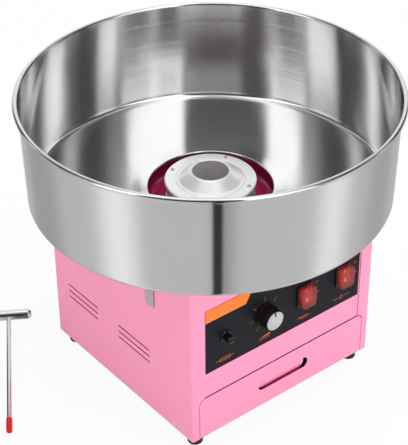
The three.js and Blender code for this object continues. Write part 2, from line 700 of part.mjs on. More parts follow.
// Dark control plate with an orange accent strip let into its upper left corner
function makeControlPlate() {
  const accentLowZ = PLATE_TOP_Z - ACCENT_HEIGHT;
  const accentEndX = -PLATE_HALF_WIDTH + ACCENT_BOTTOM_LENGTH;
  const plate = new THREE.Shape();
  plate.moveTo(-PLATE_HALF_WIDTH, PLATE_LOW_Z);
  plate.lineTo(PLATE_HALF_WIDTH, PLATE_LOW_Z);
  plate.lineTo(PLATE_HALF_WIDTH, PLATE_TOP_Z);
  plate.lineTo(accentEndX + ACCENT_SLANT + SEAT_GAP, PLATE_TOP_Z);
  plate.lineTo(accentEndX + SEAT_GAP, accentLowZ - SEAT_GAP);
  plate.lineTo(-PLATE_HALF_WIDTH, accentLowZ - SEAT_GAP);
  const sheet = fronted(plate, PLATE_FACE_Y, PLATE_FACE_Y + PLATE_SHEET);
  piece('control_plate', cut(sheet, ...controlCutouts()), 'plate_black');
  const accent = new THREE.Shape();
  accent.moveTo(-PLATE_HALF_WIDTH, accentLowZ);
  accent.lineTo(accentEndX, accentLowZ);
  accent.lineTo(accentEndX + ACCENT_SLANT, PLATE_TOP_Z);
  accent.lineTo(-PLATE_HALF_WIDTH, PLATE_TOP_Z);
  const strip = fronted(accent, PLATE_FACE_Y, PLATE_FACE_Y + PLATE_SHEET);
  piece('accent_strip', strip, 'accent_orange');
}

// Fuse holder through the panel; its slotted cap draws the glass fuse out
function makeFuse() {
  const boreRadius = FUSE_RADIUS + 2 * SEAT_GAP;
  const flangeDepth = 2.5;
  const bodyDepth = FUSE_LENGTH + 12;
  piece('fuse_holder', turnedFront([
    [0, -bodyDepth], [FUSE_BODY_RADIUS, -bodyDepth], [FUSE_BODY_RADIUS, 0],
    [FUSE_FLANGE_RADIUS, 0], [FUSE_FLANGE_RADIUS, flangeDepth * 0.6],
    [FUSE_FLANGE_RADIUS - 1, flangeDepth], [boreRadius, flangeDepth],
    [boreRadius, -FUSE_LENGTH - 2], [0, -FUSE_LENGTH - 2],
  ]), 'black_plastic', [FUSE_X, CONTROL_FACE_Y, FUSE_Z]);
  const capBase = flangeDepth + SEAT_GAP;
  const capTop = capBase + FUSE_CAP_LENGTH;
  const cap = cut(
    turnedFront([
      [0, capBase - 2], [FUSE_RADIUS, capBase - 2], [FUSE_RADIUS, capBase], [FUSE_CAP_RADIUS, capBase],
      [FUSE_CAP_RADIUS, capTop - 1], [FUSE_CAP_RADIUS - 1, capTop], [0, capTop],
    ]),
    box(-FUSE_CAP_RADIUS, FUSE_CAP_RADIUS, -capTop - 1, -capTop + 1.5, -0.8, 0.8),
  );
  piece('fuse_cap', cap, 'black_plastic', [FUSE_X, CONTROL_FACE_Y, FUSE_Z]);
  const fuseEnd = capBase - 2 - SEAT_GAP;
  const fuse = frontRod(FUSE_RADIUS, fuseEnd - FUSE_LENGTH, fuseEnd);
  piece('fuse', fuse, 'glass', [FUSE_X, CONTROL_FACE_Y, FUSE_Z]);
}

// Heat control: a ribbed knob with a silver cap on the regulator's spindle
function makeKnob() {
  const regulatorFace = -(PANEL_BACK_Y + SEAT_GAP);
  piece('heat_regulator', turnedFront([
    [SPINDLE_RADIUS + SEAT_GAP, -REGULATOR_DEPTH], [REGULATOR_RADIUS - 1, -REGULATOR_DEPTH],
    [REGULATOR_RADIUS, 1 - REGULATOR_DEPTH], [REGULATOR_RADIUS, -3], [REGULATOR_RADIUS * 0.6, 0],
    [SPINDLE_RADIUS + SEAT_GAP, 0],
  ], HIDDEN_SEGMENTS), 'black_plastic', [KNOB_X, -regulatorFace, KNOB_Z]);
  const spindleLow = regulatorFace - REGULATOR_DEPTH + 2;
  const spindleHigh = -CONTROL_FACE_Y + KNOB_HEIGHT * 0.6;
  const spindle = frontRod(SPINDLE_RADIUS, spindleLow, spindleHigh);
  piece('knob_spindle', spindle, 'zinc_steel', [KNOB_X, 0, KNOB_Z]);

  const ribbed = new THREE.Shape();
  const pointsPerRib = 4;
  const ribDepths = [0, 0, 0.6, 0.6];
  for (let i = 0; i < KNOB_RIBS * pointsPerRib; i += 1) {
    const angle = (i / (KNOB_RIBS * pointsPerRib)) * Math.PI * 2;
    const radius = KNOB_RADIUS - ribDepths[i % pointsPerRib];
    const point = [radius * Math.cos(angle), radius * Math.sin(angle)];
    if (i === 0) ribbed.moveTo(...point);
    else ribbed.lineTo(...point);
  }
  const knob = cut(
    fronted(ribbed, -KNOB_HEIGHT, 0),
    frontRod(SPINDLE_RADIUS + SEAT_GAP, -1, KNOB_HEIGHT * 0.6 + SEAT_GAP),
    frontRod(KNOB_CAP_RADIUS + SEAT_GAP, KNOB_HEIGHT - KNOB_CAP_DEPTH, KNOB_HEIGHT + 1, ROUND_SEGMENTS * 2),
  );
  piece('control_knob', knob, 'black_plastic', [KNOB_X, CONTROL_FACE_Y, KNOB_Z]);
  const cap = cut(
    frontRod(KNOB_CAP_RADIUS, 0, KNOB_CAP_DEPTH, ROUND_SEGMENTS * 2),
    box(
      -POINTER_WIDTH / 2, POINTER_WIDTH / 2, -2 * KNOB_CAP_DEPTH, KNOB_CAP_DEPTH,
      KNOB_CAP_RADIUS - POINTER_LENGTH, KNOB_CAP_RADIUS + 1,
    ),
  );
  const capFoot = KNOB_HEIGHT - KNOB_CAP_DEPTH + SEAT_GAP;
  piece('knob_cap', cap, 'knob_silver', [KNOB_X, CONTROL_FACE_Y - capFoot, KNOB_Z]);
}

// Rocker switch: a case clipped through the panel, a rocker and a clear splash boot
const ROCKER_PIVOT_Y = CONTROL_FACE_Y + 1.5;

function makeSwitch(prefix, x) {
  const rimOutline = roundedRectangle(SWITCH_WIDTH, SWITCH_HEIGHT, 2);
  const [innerWidth, innerHeight] = [SWITCH_WIDTH - 2 * SWITCH_RIM, SWITCH_HEIGHT - 2 * SWITCH_RIM];
  const rockerBay = 14;
  const shell = cut(
    join(
      fronted(rimOutline, -SWITCH_RIM_DEPTH, 0),
      box(
        -SWITCH_CASE_WIDTH / 2, SWITCH_CASE_WIDTH / 2, -SWITCH_RIM_DEPTH / 2, SWITCH_CASE_DEPTH,
        -SWITCH_CASE_HEIGHT / 2, SWITCH_CASE_HEIGHT / 2,
      ),
    ),
    box(-innerWidth / 2, innerWidth / 2, -SWITCH_RIM_DEPTH - 1, rockerBay, -innerHeight / 2, innerHeight / 2),
  );
  piece(`${prefix}_switch_case`, shell, 'black_plastic', [x, CONTROL_FACE_Y, SWITCH_Z]);

  const halfHeight = innerHeight / 2 - ROCKER_END_GAP;
  const halfWidth = innerWidth / 2 - SEAT_GAP;
  const profile = new THREE.Shape();
  profile.moveTo(-ROCKER_OUT, -halfHeight);
  profile.quadraticCurveTo(-ROCKER_OUT + ROCKER_DISH, 0, -ROCKER_OUT, halfHeight);
  profile.lineTo(-ROCKER_OUT + 5, halfHeight);
  profile.lineTo(4, halfHeight * 0.45);
  profile.lineTo(4, -halfHeight * 0.45);
  profile.lineTo(-ROCKER_OUT + 5, -halfHeight);
  const rocker = sided(profile, -halfWidth, halfWidth, 8);
  piece(
    `${prefix}_rocker`, rocker, 'red_plastic', [x, ROCKER_PIVOT_Y, SWITCH_Z],
    [THREE.MathUtils.degToRad(-ROCKER_TILT_DEG), 0, 0],
  );

  const [bootWidth, bootHeight] = [SWITCH_WIDTH - 2 * BOOT_EDGE, SWITCH_HEIGHT - 2 * BOOT_EDGE];
  const dome = (shrink, low, high) => {
    const margin = 2 * (shrink + BOOT_ROUND);
    const outline = roundedRectangle(bootWidth - margin, bootHeight - margin, BOOT_ROUND);
    const body = new THREE.ExtrudeGeometry(outline, {
      depth: high - low - BOOT_ROUND, curveSegments: 3, bevelEnabled: true,
      bevelThickness: BOOT_ROUND, bevelSize: BOOT_ROUND, bevelSegments: 3,
    });
    return body.translate(0, 0, low).rotateX(Math.PI / 2);
  };
  const boot = cut(
    dome(0, -4, BOOT_DEPTH),
    dome(BOOT_WALL, -6, BOOT_DEPTH - BOOT_WALL),
    box(-bootWidth, bootWidth, 0, 20, -bootHeight, bootHeight),
  );
  const bootY = CONTROL_FACE_Y - SWITCH_RIM_DEPTH - SEAT_GAP;
  piece(`${prefix}_switch_boot`, boot, 'clear_plastic', [x, bootY, SWITCH_Z]);
}

// Motor hung under a bridge bracket between the sides
function makeMotor() {
  const halfX = INSIDE_X - SEAT_GAP;
  const halfY = BRACKET_DEPTH / 2;
  const bracket = cut(
    join(
      box(-halfX, halfX, -halfY, halfY, BRACKET_LOW_Z, BRACKET_TOP_Z),
      box(-halfX, -halfX + BRACKET_SHEET, -halfY, halfY, BRACKET_TOP_Z - BRACKET_FLANGE, BRACKET_TOP_Z),
      box(halfX - BRACKET_SHEET, halfX, -halfY, halfY, BRACKET_TOP_Z - BRACKET_FLANGE, BRACKET_TOP_Z),
    ),
    rod(BEARING_RADIUS, BRACKET_LOW_Z - 1, BRACKET_TOP_Z + 1, ROUND_SEGMENTS),
  );
  piece('motor_bracket', bracket, 'zinc_steel');

  const innerRadius = MOTOR_RADIUS - MOTOR_WALL;
  const bearingSeat = BEARING_RADIUS + SEAT_GAP;
  const bellTop = MOTOR_WALL * 2;
  piece('motor_can', turned([
    [SHAFT_RADIUS + MOTOR_MOUTH_GAP, MOTOR_LENGTH], [MOTOR_RADIUS - 3, MOTOR_LENGTH],
    [MOTOR_RADIUS, MOTOR_LENGTH - 3],
    [MOTOR_RADIUS, bellTop + SEAT_GAP], [innerRadius, bellTop + SEAT_GAP],
    [innerRadius, MOTOR_LENGTH - MOTOR_COVER], [bearingSeat, MOTOR_LENGTH - MOTOR_COVER],
    [bearingSeat, MOTOR_LENGTH - MOTOR_LIP],
    [SHAFT_RADIUS + MOTOR_MOUTH_GAP, MOTOR_LENGTH - MOTOR_LIP],
  ], HIDDEN_SEGMENTS), 'cast_aluminium', [0, 0, MOTOR_LOW_Z]);
  const bellSeatTop = MOTOR_LIP + BEARING_LENGTH;
  piece('motor_end_bell', turned([
    [SHAFT_RADIUS + MOTOR_MOUTH_GAP, 0], [MOTOR_RADIUS - 4, 0], [MOTOR_RADIUS, 2], [MOTOR_RADIUS, bellTop],
    [BEARING_RADIUS + 3, bellTop], [BEARING_RADIUS + 3, bellSeatTop], [bearingSeat, bellSeatTop],
    [bearingSeat, MOTOR_LIP], [SHAFT_RADIUS + MOTOR_MOUTH_GAP, MOTOR_LIP],
  ], HIDDEN_SEGMENTS), 'cast_aluminium', [0, 0, MOTOR_LOW_Z]);
  const bearing = tube(BEARING_RADIUS, SHAFT_RADIUS + RUNNING_GAP, 0, BEARING_LENGTH - SEAT_GAP);
  piece('motor_bearing_upper', bearing, 'zinc_steel', [0, 0, MOTOR_TOP_Z - MOTOR_LIP - BEARING_LENGTH]);
  piece('motor_bearing_lower', bearing, 'zinc_steel', [0, 0, MOTOR_LOW_Z + MOTOR_LIP + SEAT_GAP]);
  const coreLow = MOTOR_LOW_Z + STATOR_INSET;
  piece(
    'motor_stator', tube(innerRadius - SEAT_GAP, ROTOR_RADIUS + AIR_GAP, 0, STATOR_LENGTH),
    'copper', [0, 0, coreLow],
  );
  const rotor = tube(ROTOR_RADIUS, SHAFT_RADIUS + RUNNING_GAP, 0, STATOR_LENGTH);
  piece('motor_rotor', rotor, 'zinc_steel', [0, 0, coreLow]);
}

// Shaft, cooling fan and slip rings, all turning with the head
const NUT_HEIGHT = 6;
const SLEEVE_LOW_Z = BRACKET_TOP_Z + 7;

function makeDriveLine() {
  const shaftTop = HUB_TOP_Z + NUT_HEIGHT + 3;
  piece('drive_shaft', turned([
    [0, 0], [SHAFT_RADIUS - 0.8, 0], [SHAFT_RADIUS, 0.8], [SHAFT_RADIUS, shaftTop - SHAFT_LOW_Z - 0.8],
    [SHAFT_RADIUS - 0.8, shaftTop - SHAFT_LOW_Z], [0, shaftTop - SHAFT_LOW_Z],
  ]), 'zinc_steel', [0, 0, SHAFT_LOW_Z]);

  const hubRadius = SHAFT_RADIUS + 5;
  const blades = [];
  for (let i = 0; i < FAN_BLADES; i += 1) {
    const blade = box(hubRadius - 1, FAN_RADIUS, -0.7, 0.7, -FAN_DEPTH / 2, FAN_DEPTH / 2);
    blade.rotateX(THREE.MathUtils.degToRad(25)).translate(0, 0, FAN_DEPTH / 2);
    blades.push(blade.rotateZ((i * 2 * Math.PI) / FAN_BLADES));
  }
  const fan = join(tube(hubRadius, SHAFT_RADIUS + SEAT_GAP, 0, FAN_DEPTH), ...blades);
  piece('cooling_fan', fan, 'black_plastic', [0, 0, FAN_TOP_Z - FAN_DEPTH]);

  const sleeve = tube(SLEEVE_RADIUS, SHAFT_RADIUS + SEAT_GAP, 0, SLEEVE_LENGTH);
  piece('slip_ring_sleeve', sleeve, 'white_plastic', [0, 0, SLEEVE_LOW_Z]);
  const halfRing = SLIP_RING_WIDTH / 2;
  const ring = tube(SLIP_RING_RADIUS, SLEEVE_RADIUS + SEAT_GAP, -halfRing, halfRing);
  for (const [name, z] of slipRingLevels()) piece(`slip_ring_${name}`, ring, 'brass', [0, 0, z]);
}

function slipRingLevels() {
  const middle = SLEEVE_LOW_Z + SLEEVE_LENGTH / 2;
  return [['lower', middle - SLIP_RING_PITCH / 2], ['upper', middle + SLIP_RING_PITCH / 2]];
}

// Insulating block on the bracket that holds one carbon brush against each slip ring
function makeBrushGear() {
  const tipX = SLIP_RING_RADIUS + RUNNING_GAP;
  const blockX = tipX + 4;
  const blockEndX = blockX + BRUSH_LENGTH;
  const half = BRUSH_SIZE / 2;
  const halfBore = half + SEAT_GAP;
  const blockTop = SLEEVE_LOW_Z + SLEEVE_LENGTH;
  const blockLow = BRACKET_TOP_Z + SEAT_GAP;
  const halfBlock = BRUSH_BLOCK_WIDTH / 2;
  const block = join(
    box(blockX, blockEndX, -halfBlock, halfBlock, blockLow, blockTop),
    box(blockX, blockEndX + 10, -halfBlock, halfBlock, blockLow, blockLow + 3),
  );
  const bores = slipRingLevels().map(([, z]) => box(
    blockX - 1, blockEndX + 1, -halfBore, halfBore, z - halfBore, z + halfBore,
  ));
  piece('brush_holder', cut(block, ...bores), 'black_plastic');
  const brush = box(tipX, tipX + BRUSH_LENGTH, -half, half, -half, half);
  for (const [name, z] of slipRingLevels()) piece(`carbon_brush_${name}`, brush, 'carbon', [0, 0, z]);
}

// Gland that a power cord passes through, with its nut inside the back
function makeGland() {
  const rearY = BODY_DEPTH / 2 + SEAT_GAP;
  const neckRadius = GLAND_RADIUS * 0.75;
  const gland = turned([
    [GLAND_BORE, -16], [neckRadius, -16], [neckRadius, 0], [GLAND_RADIUS + 2, 0], [GLAND_RADIUS + 2, 4],
    [GLAND_RADIUS, 5], [GLAND_RADIUS - 1, 12], [GLAND_BORE + 2, 17], [GLAND_BORE, 17],
  ], HIDDEN_SEGMENTS).rotateX(-Math.PI / 2);
  piece('cable_gland', gland, 'black_plastic', [GLAND_X, rearY, GLAND_Z]);
  const nut = hexNut(2 * GLAND_RADIUS + 4, 5, neckRadius + SEAT_GAP).rotateX(Math.PI / 2);
  piece('gland_nut', nut, 'black_plastic', [GLAND_X, INSIDE_Y - SEAT_GAP, GLAND_Z]);
}

// Deep pan in the deck that the head turns in
function makeWell() {
  const half = WELL_SHEET / 2;
  const flangeZ = DECK_TOP_Z + SEAT_GAP + half;
  const wallR = WELL_RADIUS + half;
  const neckR = WELL_NECK_RADIUS + half;
  const floorZ = WELL_FLOOR_Z + half;
  const path = [
    [WELL_RADIUS + WELL_FLANGE, flangeZ],
    ...arc(wallR + WELL_BEND, flangeZ - WELL_BEND, WELL_BEND, 90, 180, 2),
    ...arc(wallR - WELL_CORNER_RADIUS, floorZ + WELL_CORNER_RADIUS, WELL_CORNER_RADIUS, 0, -90, 4),
    ...arc(neckR + WELL_NECK_BEND, floorZ + WELL_NECK_BEND, WELL_NECK_BEND, -90, -180, 2),
    [neckR, floorZ + WELL_NECK_BEND + 2],
  ];
  piece('head_well', turned(sheetOutline(path, WELL_SHEET), HEAD_SEGMENTS), 'rose_enamel');
}

// Spinning head: base pan, slotted band, heating element and a cap with a sugar funnel,
// whose sleeve ends a little above the pan so that sugar runs out under it
function makeHead() {
  const screwPlaces = onCircle(HEAD_SCREW_CIRCLE, 4, HEAD_SCREW_ANGLE_DEG, 0);
  const rim = BAND_RADIUS + 0.4;
  const ledgeInner = ELEMENT_RADIUS - 6;
  const boss = rod(HEAD_BOSS_RADIUS, HEAD_LEDGE_Z - 1, BAND_TOP_Z);
  const pan = turned([
    [SHAFT_RADIUS + SEAT_GAP, HEAD_BASE_Z], [24, HEAD_BASE_Z], [rim - 8, HEAD_BASE_Z + 2.5],
    [rim, HEAD_BASE_Z + 6], [rim, HEAD_LEDGE_Z], [ledgeInner, HEAD_LEDGE_Z],
    [ledgeInner - 3, HEAD_BASE_Z + 5.5], [14, HEAD_BASE_Z + 3.5], [12, HUB_TOP_Z],
    [SHAFT_RADIUS + SEAT_GAP, HUB_TOP_Z],
  ], HEAD_SEGMENTS);
  const bosses = screwPlaces.map(([x, y]) => boss.clone().translate(x, y, 0));
  piece('head_base', join(pan, ...bosses), 'cast_aluminium');
  const nut = hexNut(17, NUT_HEIGHT, SHAFT_RADIUS + SEAT_GAP);
  piece('hub_nut', nut, 'zinc_steel', [0, 0, HUB_TOP_Z + SEAT_GAP]);

  const bandLow = HEAD_LEDGE_Z + SEAT_GAP;
  const slotMargin = 3;
  const slots = onCircle(BAND_RADIUS, BAND_SLOTS, 0, 0).map((_, i) => box(
    BAND_RADIUS - 2 * BAND_SHEET, BAND_RADIUS + BAND_SHEET, -BAND_SLOT_WIDTH / 2, BAND_SLOT_WIDTH / 2,
    bandLow + slotMargin, BAND_TOP_Z - slotMargin,
  ).rotateZ(((i + 0.5) * 2 * Math.PI) / BAND_SLOTS));
  const band = tube(BAND_RADIUS, BAND_RADIUS - BAND_SHEET, bandLow, BAND_TOP_Z, BAND_SLOTS);
  piece('slotted_band', cut(band, ...slots), 'spun_aluminium');

  const ribbon = 0.6;
  const wave = 3;
  const outline = new THREE.Shape();
  const inside = new THREE.Path();
  for (let i = 0; i < 2 * ELEMENT_WAVES; i += 1) {
    const angle = (i * Math.PI) / ELEMENT_WAVES;
    const radius = ELEMENT_RADIUS - (i % 2) * wave;
    const draw = i === 0 ? 'moveTo' : 'lineTo';
    outline[draw](radius * Math.cos(angle), radius * Math.sin(angle));
    inside[draw]((radius - ribbon) * Math.cos(angle), (radius - ribbon) * Math.sin(angle));
  }
  outline.holes.push(inside);
  const element = raised(outline, bandLow, bandLow + ELEMENT_HEIGHT);
  piece('heating_element', element, 'nichrome');

  const half = HEAD_SHEET / 2;
  const topZ = HEAD_TOP_Z - half;
  const coneTopZ = HEAD_TOP_Z + CONE_HEIGHT - half;
  const holeR = SUGAR_HOLE_RADIUS + half;
  const path = [
    [HEAD_RADIUS - half, topZ - 4.5],
    ...arc(HEAD_RADIUS - half - 1.5, topZ - 1.5, 1.5, 0, 90, 2),
    [GROOVE_RADIUS + 2 * GROOVE_DEPTH, topZ],
    [GROOVE_RADIUS, topZ - GROOVE_DEPTH],
    [GROOVE_RADIUS - 2 * GROOVE_DEPTH, topZ],
    [CONE_RIM_RADIUS + 0.6, coneTopZ - 0.7],
    [(CONE_RIM_RADIUS + holeR) / 2, coneTopZ],
    [holeR, coneTopZ - 1],
    [holeR, topZ - SUGAR_SLEEVE_DEPTH],
  ];
  piece('head_cap', turned(sheetOutline(path, HEAD_SHEET), HEAD_SEGMENTS), 'spun_aluminium');
}

// Spun bowl: a collar round the head, a flat floor, a nearly straight wall and an open
// curl at the rim; four locating clips under it hug the body's sides
function makeBowl() {
  const half = BOWL_SHEET / 2;
  const floorZ = BOWL_UNDERSIDE_Z + half;
  const lipR = BOWL_OPENING_RADIUS + half;
  const collarZ = floorZ + COLLAR_HEIGHT;
  const baseR = BOWL_BASE_RADIUS - half;
  const beadR = BOWL_RIM_RADIUS - BEAD_RADIUS;
  const curl = BEAD_RADIUS - half;
  const path = [
    [lipR, floorZ + SEAT_GAP],
    ...arc(lipR + COLLAR_BEND, collarZ - COLLAR_BEND, COLLAR_BEND, 180, 75, 2),
    [COLLAR_FOOT_RADIUS - 2 * COLLAR_HEIGHT, floorZ + COLLAR_HEIGHT / 4],
    [COLLAR_FOOT_RADIUS, floorZ],
    ...arc(baseR - BOWL_CORNER_RADIUS, floorZ + BOWL_CORNER_RADIUS, BOWL_CORNER_RADIUS, -90, 0, 3),
    [BOWL_WALL_TOP_RADIUS, BOWL_RIM_Z - BEAD_RADIUS],
    ...arc(beadR, BOWL_RIM_Z, curl, 180, -90, 6),
  ];
  piece('bowl', turned(sheetOutline(path, BOWL_SHEET), BOWL_SEGMENTS), 'polished_steel');

  const gasketInner = GASKET_RADIUS - GASKET_WIDTH;
  const gasket = tube(GASKET_RADIUS, gasketInner, GASKET_LOW_Z, GASKET_TOP_Z, HEAD_SEGMENTS);
  piece('bowl_gasket', gasket, 'rubber');

  const strapX = BODY_WIDTH / 2 + CLIP_STANDOFF;
  const topZ = GASKET_TOP_Z;
  const clipPath = [
    [strapX + CLIP_FOOT, topZ - CLIP_SHEET / 2],
    ...arc(strapX + CLIP_BEND, topZ - CLIP_BEND - CLIP_SHEET / 2, CLIP_BEND - CLIP_SHEET / 2, 90, 180, 3),
    [strapX + CLIP_SHEET / 2, topZ - CLIP_LENGTH + 2 * CLIP_FLARE],
    [strapX + CLIP_FLARE, topZ - CLIP_LENGTH],
  ];
  const clipPoints = sheetOutline(clipPath, CLIP_SHEET).map(([x, z]) => new THREE.Vector2(x, z));
  const clip = fronted(new THREE.Shape(clipPoints), -CLIP_WIDTH / 2, CLIP_WIDTH / 2);
  piece('bowl_clip_front_right', clip, 'zinc_steel', [0, -CLIP_Y, 0]);
  piece('bowl_clip_rear_right', clip, 'zinc_steel', [0, CLIP_Y, 0]);
  piece('bowl_clip_front_left', clip, 'zinc_steel', [0, -CLIP_Y, 0], [0, 0, Math.PI]);
  piece('bowl_clip_rear_left', clip, 'zinc_steel', [0, CLIP_Y, 0], [0, 0, Math.PI]);
}

// Sugar scoop on the floor: a cup on a rod with a red tip, the rod dipping to the tip
function makeScoop() {
  const scoop = new THREE.Group();
  const cup = turned([
    [0, 0], [CUP_RADIUS * 0.55, 0.6], [CUP_RADIUS * 0.87, 2.6], [CUP_RADIUS, 6], [CUP_RADIUS, CUP_LENGTH],
    [CUP_RADIUS - CUP_WALL, CUP_LENGTH], [CUP_RADIUS - CUP_WALL, 6.3], [CUP_RADIUS * 0.6, 2.8], [0, 1.8],
  ]);
  cup.translate(0, 0, -CUP_LENGTH + CUP_MOUTH_REACH).rotateX(Math.PI / 2);
  const drop = Math.asin((CUP_RADIUS - TIP_RADIUS) / SCOOP_REACH);
  const joinX = CUP_RADIUS + SEAT_GAP;
  const tipX = SCOOP_REACH - TIP_LENGTH;
  const rodPiece = rod(ROD_RADIUS, joinX, tipX + TIP_LENGTH * 0.5).rotateY(Math.PI / 2);
  const tip = turned([
    [0, tipX + TIP_LENGTH * 0.5 + SEAT_GAP], [ROD_RADIUS + SEAT_GAP, tipX + TIP_LENGTH * 0.5 + SEAT_GAP],
    [ROD_RADIUS + SEAT_GAP, tipX], [TIP_RADIUS, tipX], [TIP_RADIUS, SCOOP_REACH - 2],
    [TIP_RADIUS - 1.5, SCOOP_REACH], [0, SCOOP_REACH],
  ]).rotateY(Math.PI / 2);
  const pieces = [
    ['scoop_cup', cup, 'polished_steel', 0], ['scoop_rod', rodPiece, 'polished_steel', drop],
    ['scoop_tip', tip, 'red_plastic', drop],
  ];
  for (const [name, geometry, materialName, pitch] of pieces) {
    const mesh = new THREE.Mesh(geometry, material(materialName));
    mesh.name = name;
    mesh.rotation.set(0, pitch, 0);
    scoop.add(mesh);
  }
  scoop.position.set(SCOOP_X, SCOOP_Y, FLOOR_Z + CUP_RADIUS);
  scoop.rotation.z = THREE.MathUtils.degToRad(SCOOP_HEADING_DEG);
  machine.add(scoop);
}

makeBodyShell();
makeDeck();
makeFloors();
makeGuides();
makeFeet();
makeFrontPanel();
makeControlPlate();
makeFuse();
makeKnob();
makeSwitch('heat', HEAT_SWITCH_X);
makeSwitch('power', POWER_SWITCH_X);
makeMotor();
makeDriveLine();
makeBrushGear();
makeGland();
makeWell();
makeHead();
makeBowl();
makeDrawerFront();
makeTray();
makeScoop();

export default machine;
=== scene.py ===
"""Looks of an electric cotton candy machine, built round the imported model.

Metres, +Z up. The front panel faces -Y and the spinning head's axis is x = y = 0.
"""
import json
import math

import bmesh
import bpy
from mathutils import Matrix, Vector
from mathutils.bvhtree import BVHTree

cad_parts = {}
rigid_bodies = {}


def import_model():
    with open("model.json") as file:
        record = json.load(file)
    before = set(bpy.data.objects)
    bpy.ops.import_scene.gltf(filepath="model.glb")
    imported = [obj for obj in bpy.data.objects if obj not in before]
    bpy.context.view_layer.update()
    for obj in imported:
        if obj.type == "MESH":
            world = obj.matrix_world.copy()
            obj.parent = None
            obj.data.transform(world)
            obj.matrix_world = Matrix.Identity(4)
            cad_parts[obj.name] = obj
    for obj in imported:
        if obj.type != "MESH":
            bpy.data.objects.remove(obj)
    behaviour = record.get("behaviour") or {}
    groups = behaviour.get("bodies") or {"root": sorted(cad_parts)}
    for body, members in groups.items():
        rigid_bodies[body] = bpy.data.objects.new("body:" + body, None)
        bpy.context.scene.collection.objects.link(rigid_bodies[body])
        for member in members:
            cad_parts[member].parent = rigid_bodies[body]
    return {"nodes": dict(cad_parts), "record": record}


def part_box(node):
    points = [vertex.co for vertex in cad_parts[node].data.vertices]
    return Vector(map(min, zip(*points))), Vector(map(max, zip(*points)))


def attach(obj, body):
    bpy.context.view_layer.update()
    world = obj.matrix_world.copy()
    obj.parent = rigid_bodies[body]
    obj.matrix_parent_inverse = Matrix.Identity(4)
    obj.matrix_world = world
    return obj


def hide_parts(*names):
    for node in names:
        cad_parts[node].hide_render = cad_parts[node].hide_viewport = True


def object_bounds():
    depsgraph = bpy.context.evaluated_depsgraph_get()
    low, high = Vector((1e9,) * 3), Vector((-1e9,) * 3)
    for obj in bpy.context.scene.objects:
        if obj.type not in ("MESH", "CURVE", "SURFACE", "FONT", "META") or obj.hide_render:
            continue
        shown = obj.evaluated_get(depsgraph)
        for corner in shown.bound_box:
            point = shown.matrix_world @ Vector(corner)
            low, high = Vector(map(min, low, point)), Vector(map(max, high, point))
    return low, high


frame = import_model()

CAD_LOW, CAD_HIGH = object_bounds()
MM = 0.001
SMOOTH_ANGLE_DEG = 32

# Camera, at the photograph's viewing angle, with its places in metres
CAMERA_YAW_DEG = -38.5149
CAMERA_PITCH_DEG = 34.8843
CAMERA_ROLL_DEG = -0.4493
CAMERA_DISTANCE = 2.07281
CAMERA_TARGET_Z = 0.206733
CAMERA_SIDE_SHIFT = -0.00944
CAMERA_LENS_MM = 120.006
CAMERA_SENSOR_MM = 36.0
CAMERA_CLIP = (0.05, 200)

# Bowl, in millimetres
BOWL_SHEET = 0.9
BOWL_BEAD_RADIUS = 3.5
BOWL_BEAD_END_DEG = -150
BOWL_WALL_TOP_RADIUS = 253.2
BOWL_BASE_RADIUS = 250.0
BOWL_CORNER_RADIUS = 8.0
BOWL_OPENING_RADIUS = 86.0
BOWL_LIP_RISE = 0.4
BOWL_COLLAR_HEIGHT = 3.0
BOWL_COLLAR_ROUND = 2.0
BOWL_COLLAR_FOOT = 106.0
BOWL_COLLAR_SWEEP = 60.0

# Head cap and its screws, in millimetres
CAP_SHEET = 1.2
CAP_SKIRT = 5.1
CAP_GROOVE_RADIUS = 47.3
CAP_GROOVE_WIDTH = 2.0
CAP_GROOVE_DEPTH = 0.5
CAP_CONE_FOOT_INSET = 4.5
CAP_CONE_FOOT_RISE = 0.9
CAP_CONE_RADIUS = 27.6
CAP_CONE_HEIGHT = 13.0
CAP_SHOULDER_WIDTH = 2.2
CAP_SHOULDER_DROP = 1.6
CAP_BROW_INSET = 0.6
CAP_HOLE_DROP = 0.4
CAP_HOLE_RADIUS = 24.9
CAP_SLEEVE_DEPTH = 24.0
SCREW_COUNT = 4
SCREW_CIRCLE = 56.6
SCREW_ANGLE_DEG = 29
SCREW_HEAD_RADIUS = 2.7
SCREW_HEAD_HEIGHT = 1.7
SCREW_SIDE_HEIGHT = 0.45 * SCREW_HEAD_HEIGHT
SCREW_CROWN_RADIUS = 0.6 * SCREW_HEAD_RADIUS
SCREW_SLOT_LENGTH = 1.25 * SCREW_HEAD_RADIUS
SCREW_SLOT_WIDTH = 0.55
SCREW_SLOT_HEIGHT = 0.9 * SCREW_HEAD_HEIGHT
SCREW_SLOT_TURN_RAD = 0.4

# Well, in millimetres
WELL_RADIUS = 91.0
WELL_SHEET = 1.2
WELL_FLANGE = 13.0
WELL_CORNER_RADIUS = 14.0
WELL_NECK_RADIUS = 18.0
WELL_NECK_HEIGHT = 5.0

# Knob and its silver disc, in millimetres
KNOB_HEIGHT = 21.0
KNOB_BORE_RADIUS = 3.3
KNOB_SKIRT_HEIGHT = 3.0
KNOB_SHOULDER_HEIGHT = 1.5
KNOB_BODY_RADIUS = 16.0
KNOB_TOP_RADIUS = 15.2
KNOB_RECESS_RADIUS = 14.3
KNOB_RECESS_DEPTH = 1.2
KNOB_RIBS = 40
KNOB_RIB_DEPTH = 0.55
KNOB_RIB_FLATNESS = 1.8
KNOB_RIB_START = KNOB_SKIRT_HEIGHT + 0.8
KNOB_RIB_END = KNOB_HEIGHT - 0.3
KNOB_RIB_INSIDE = KNOB_RECESS_RADIUS + 0.3
NOTCH_HALF_WIDTH = 1.3
NOTCH_POINT = 1.0
NOTCH_TIP_SHARE = 0.5

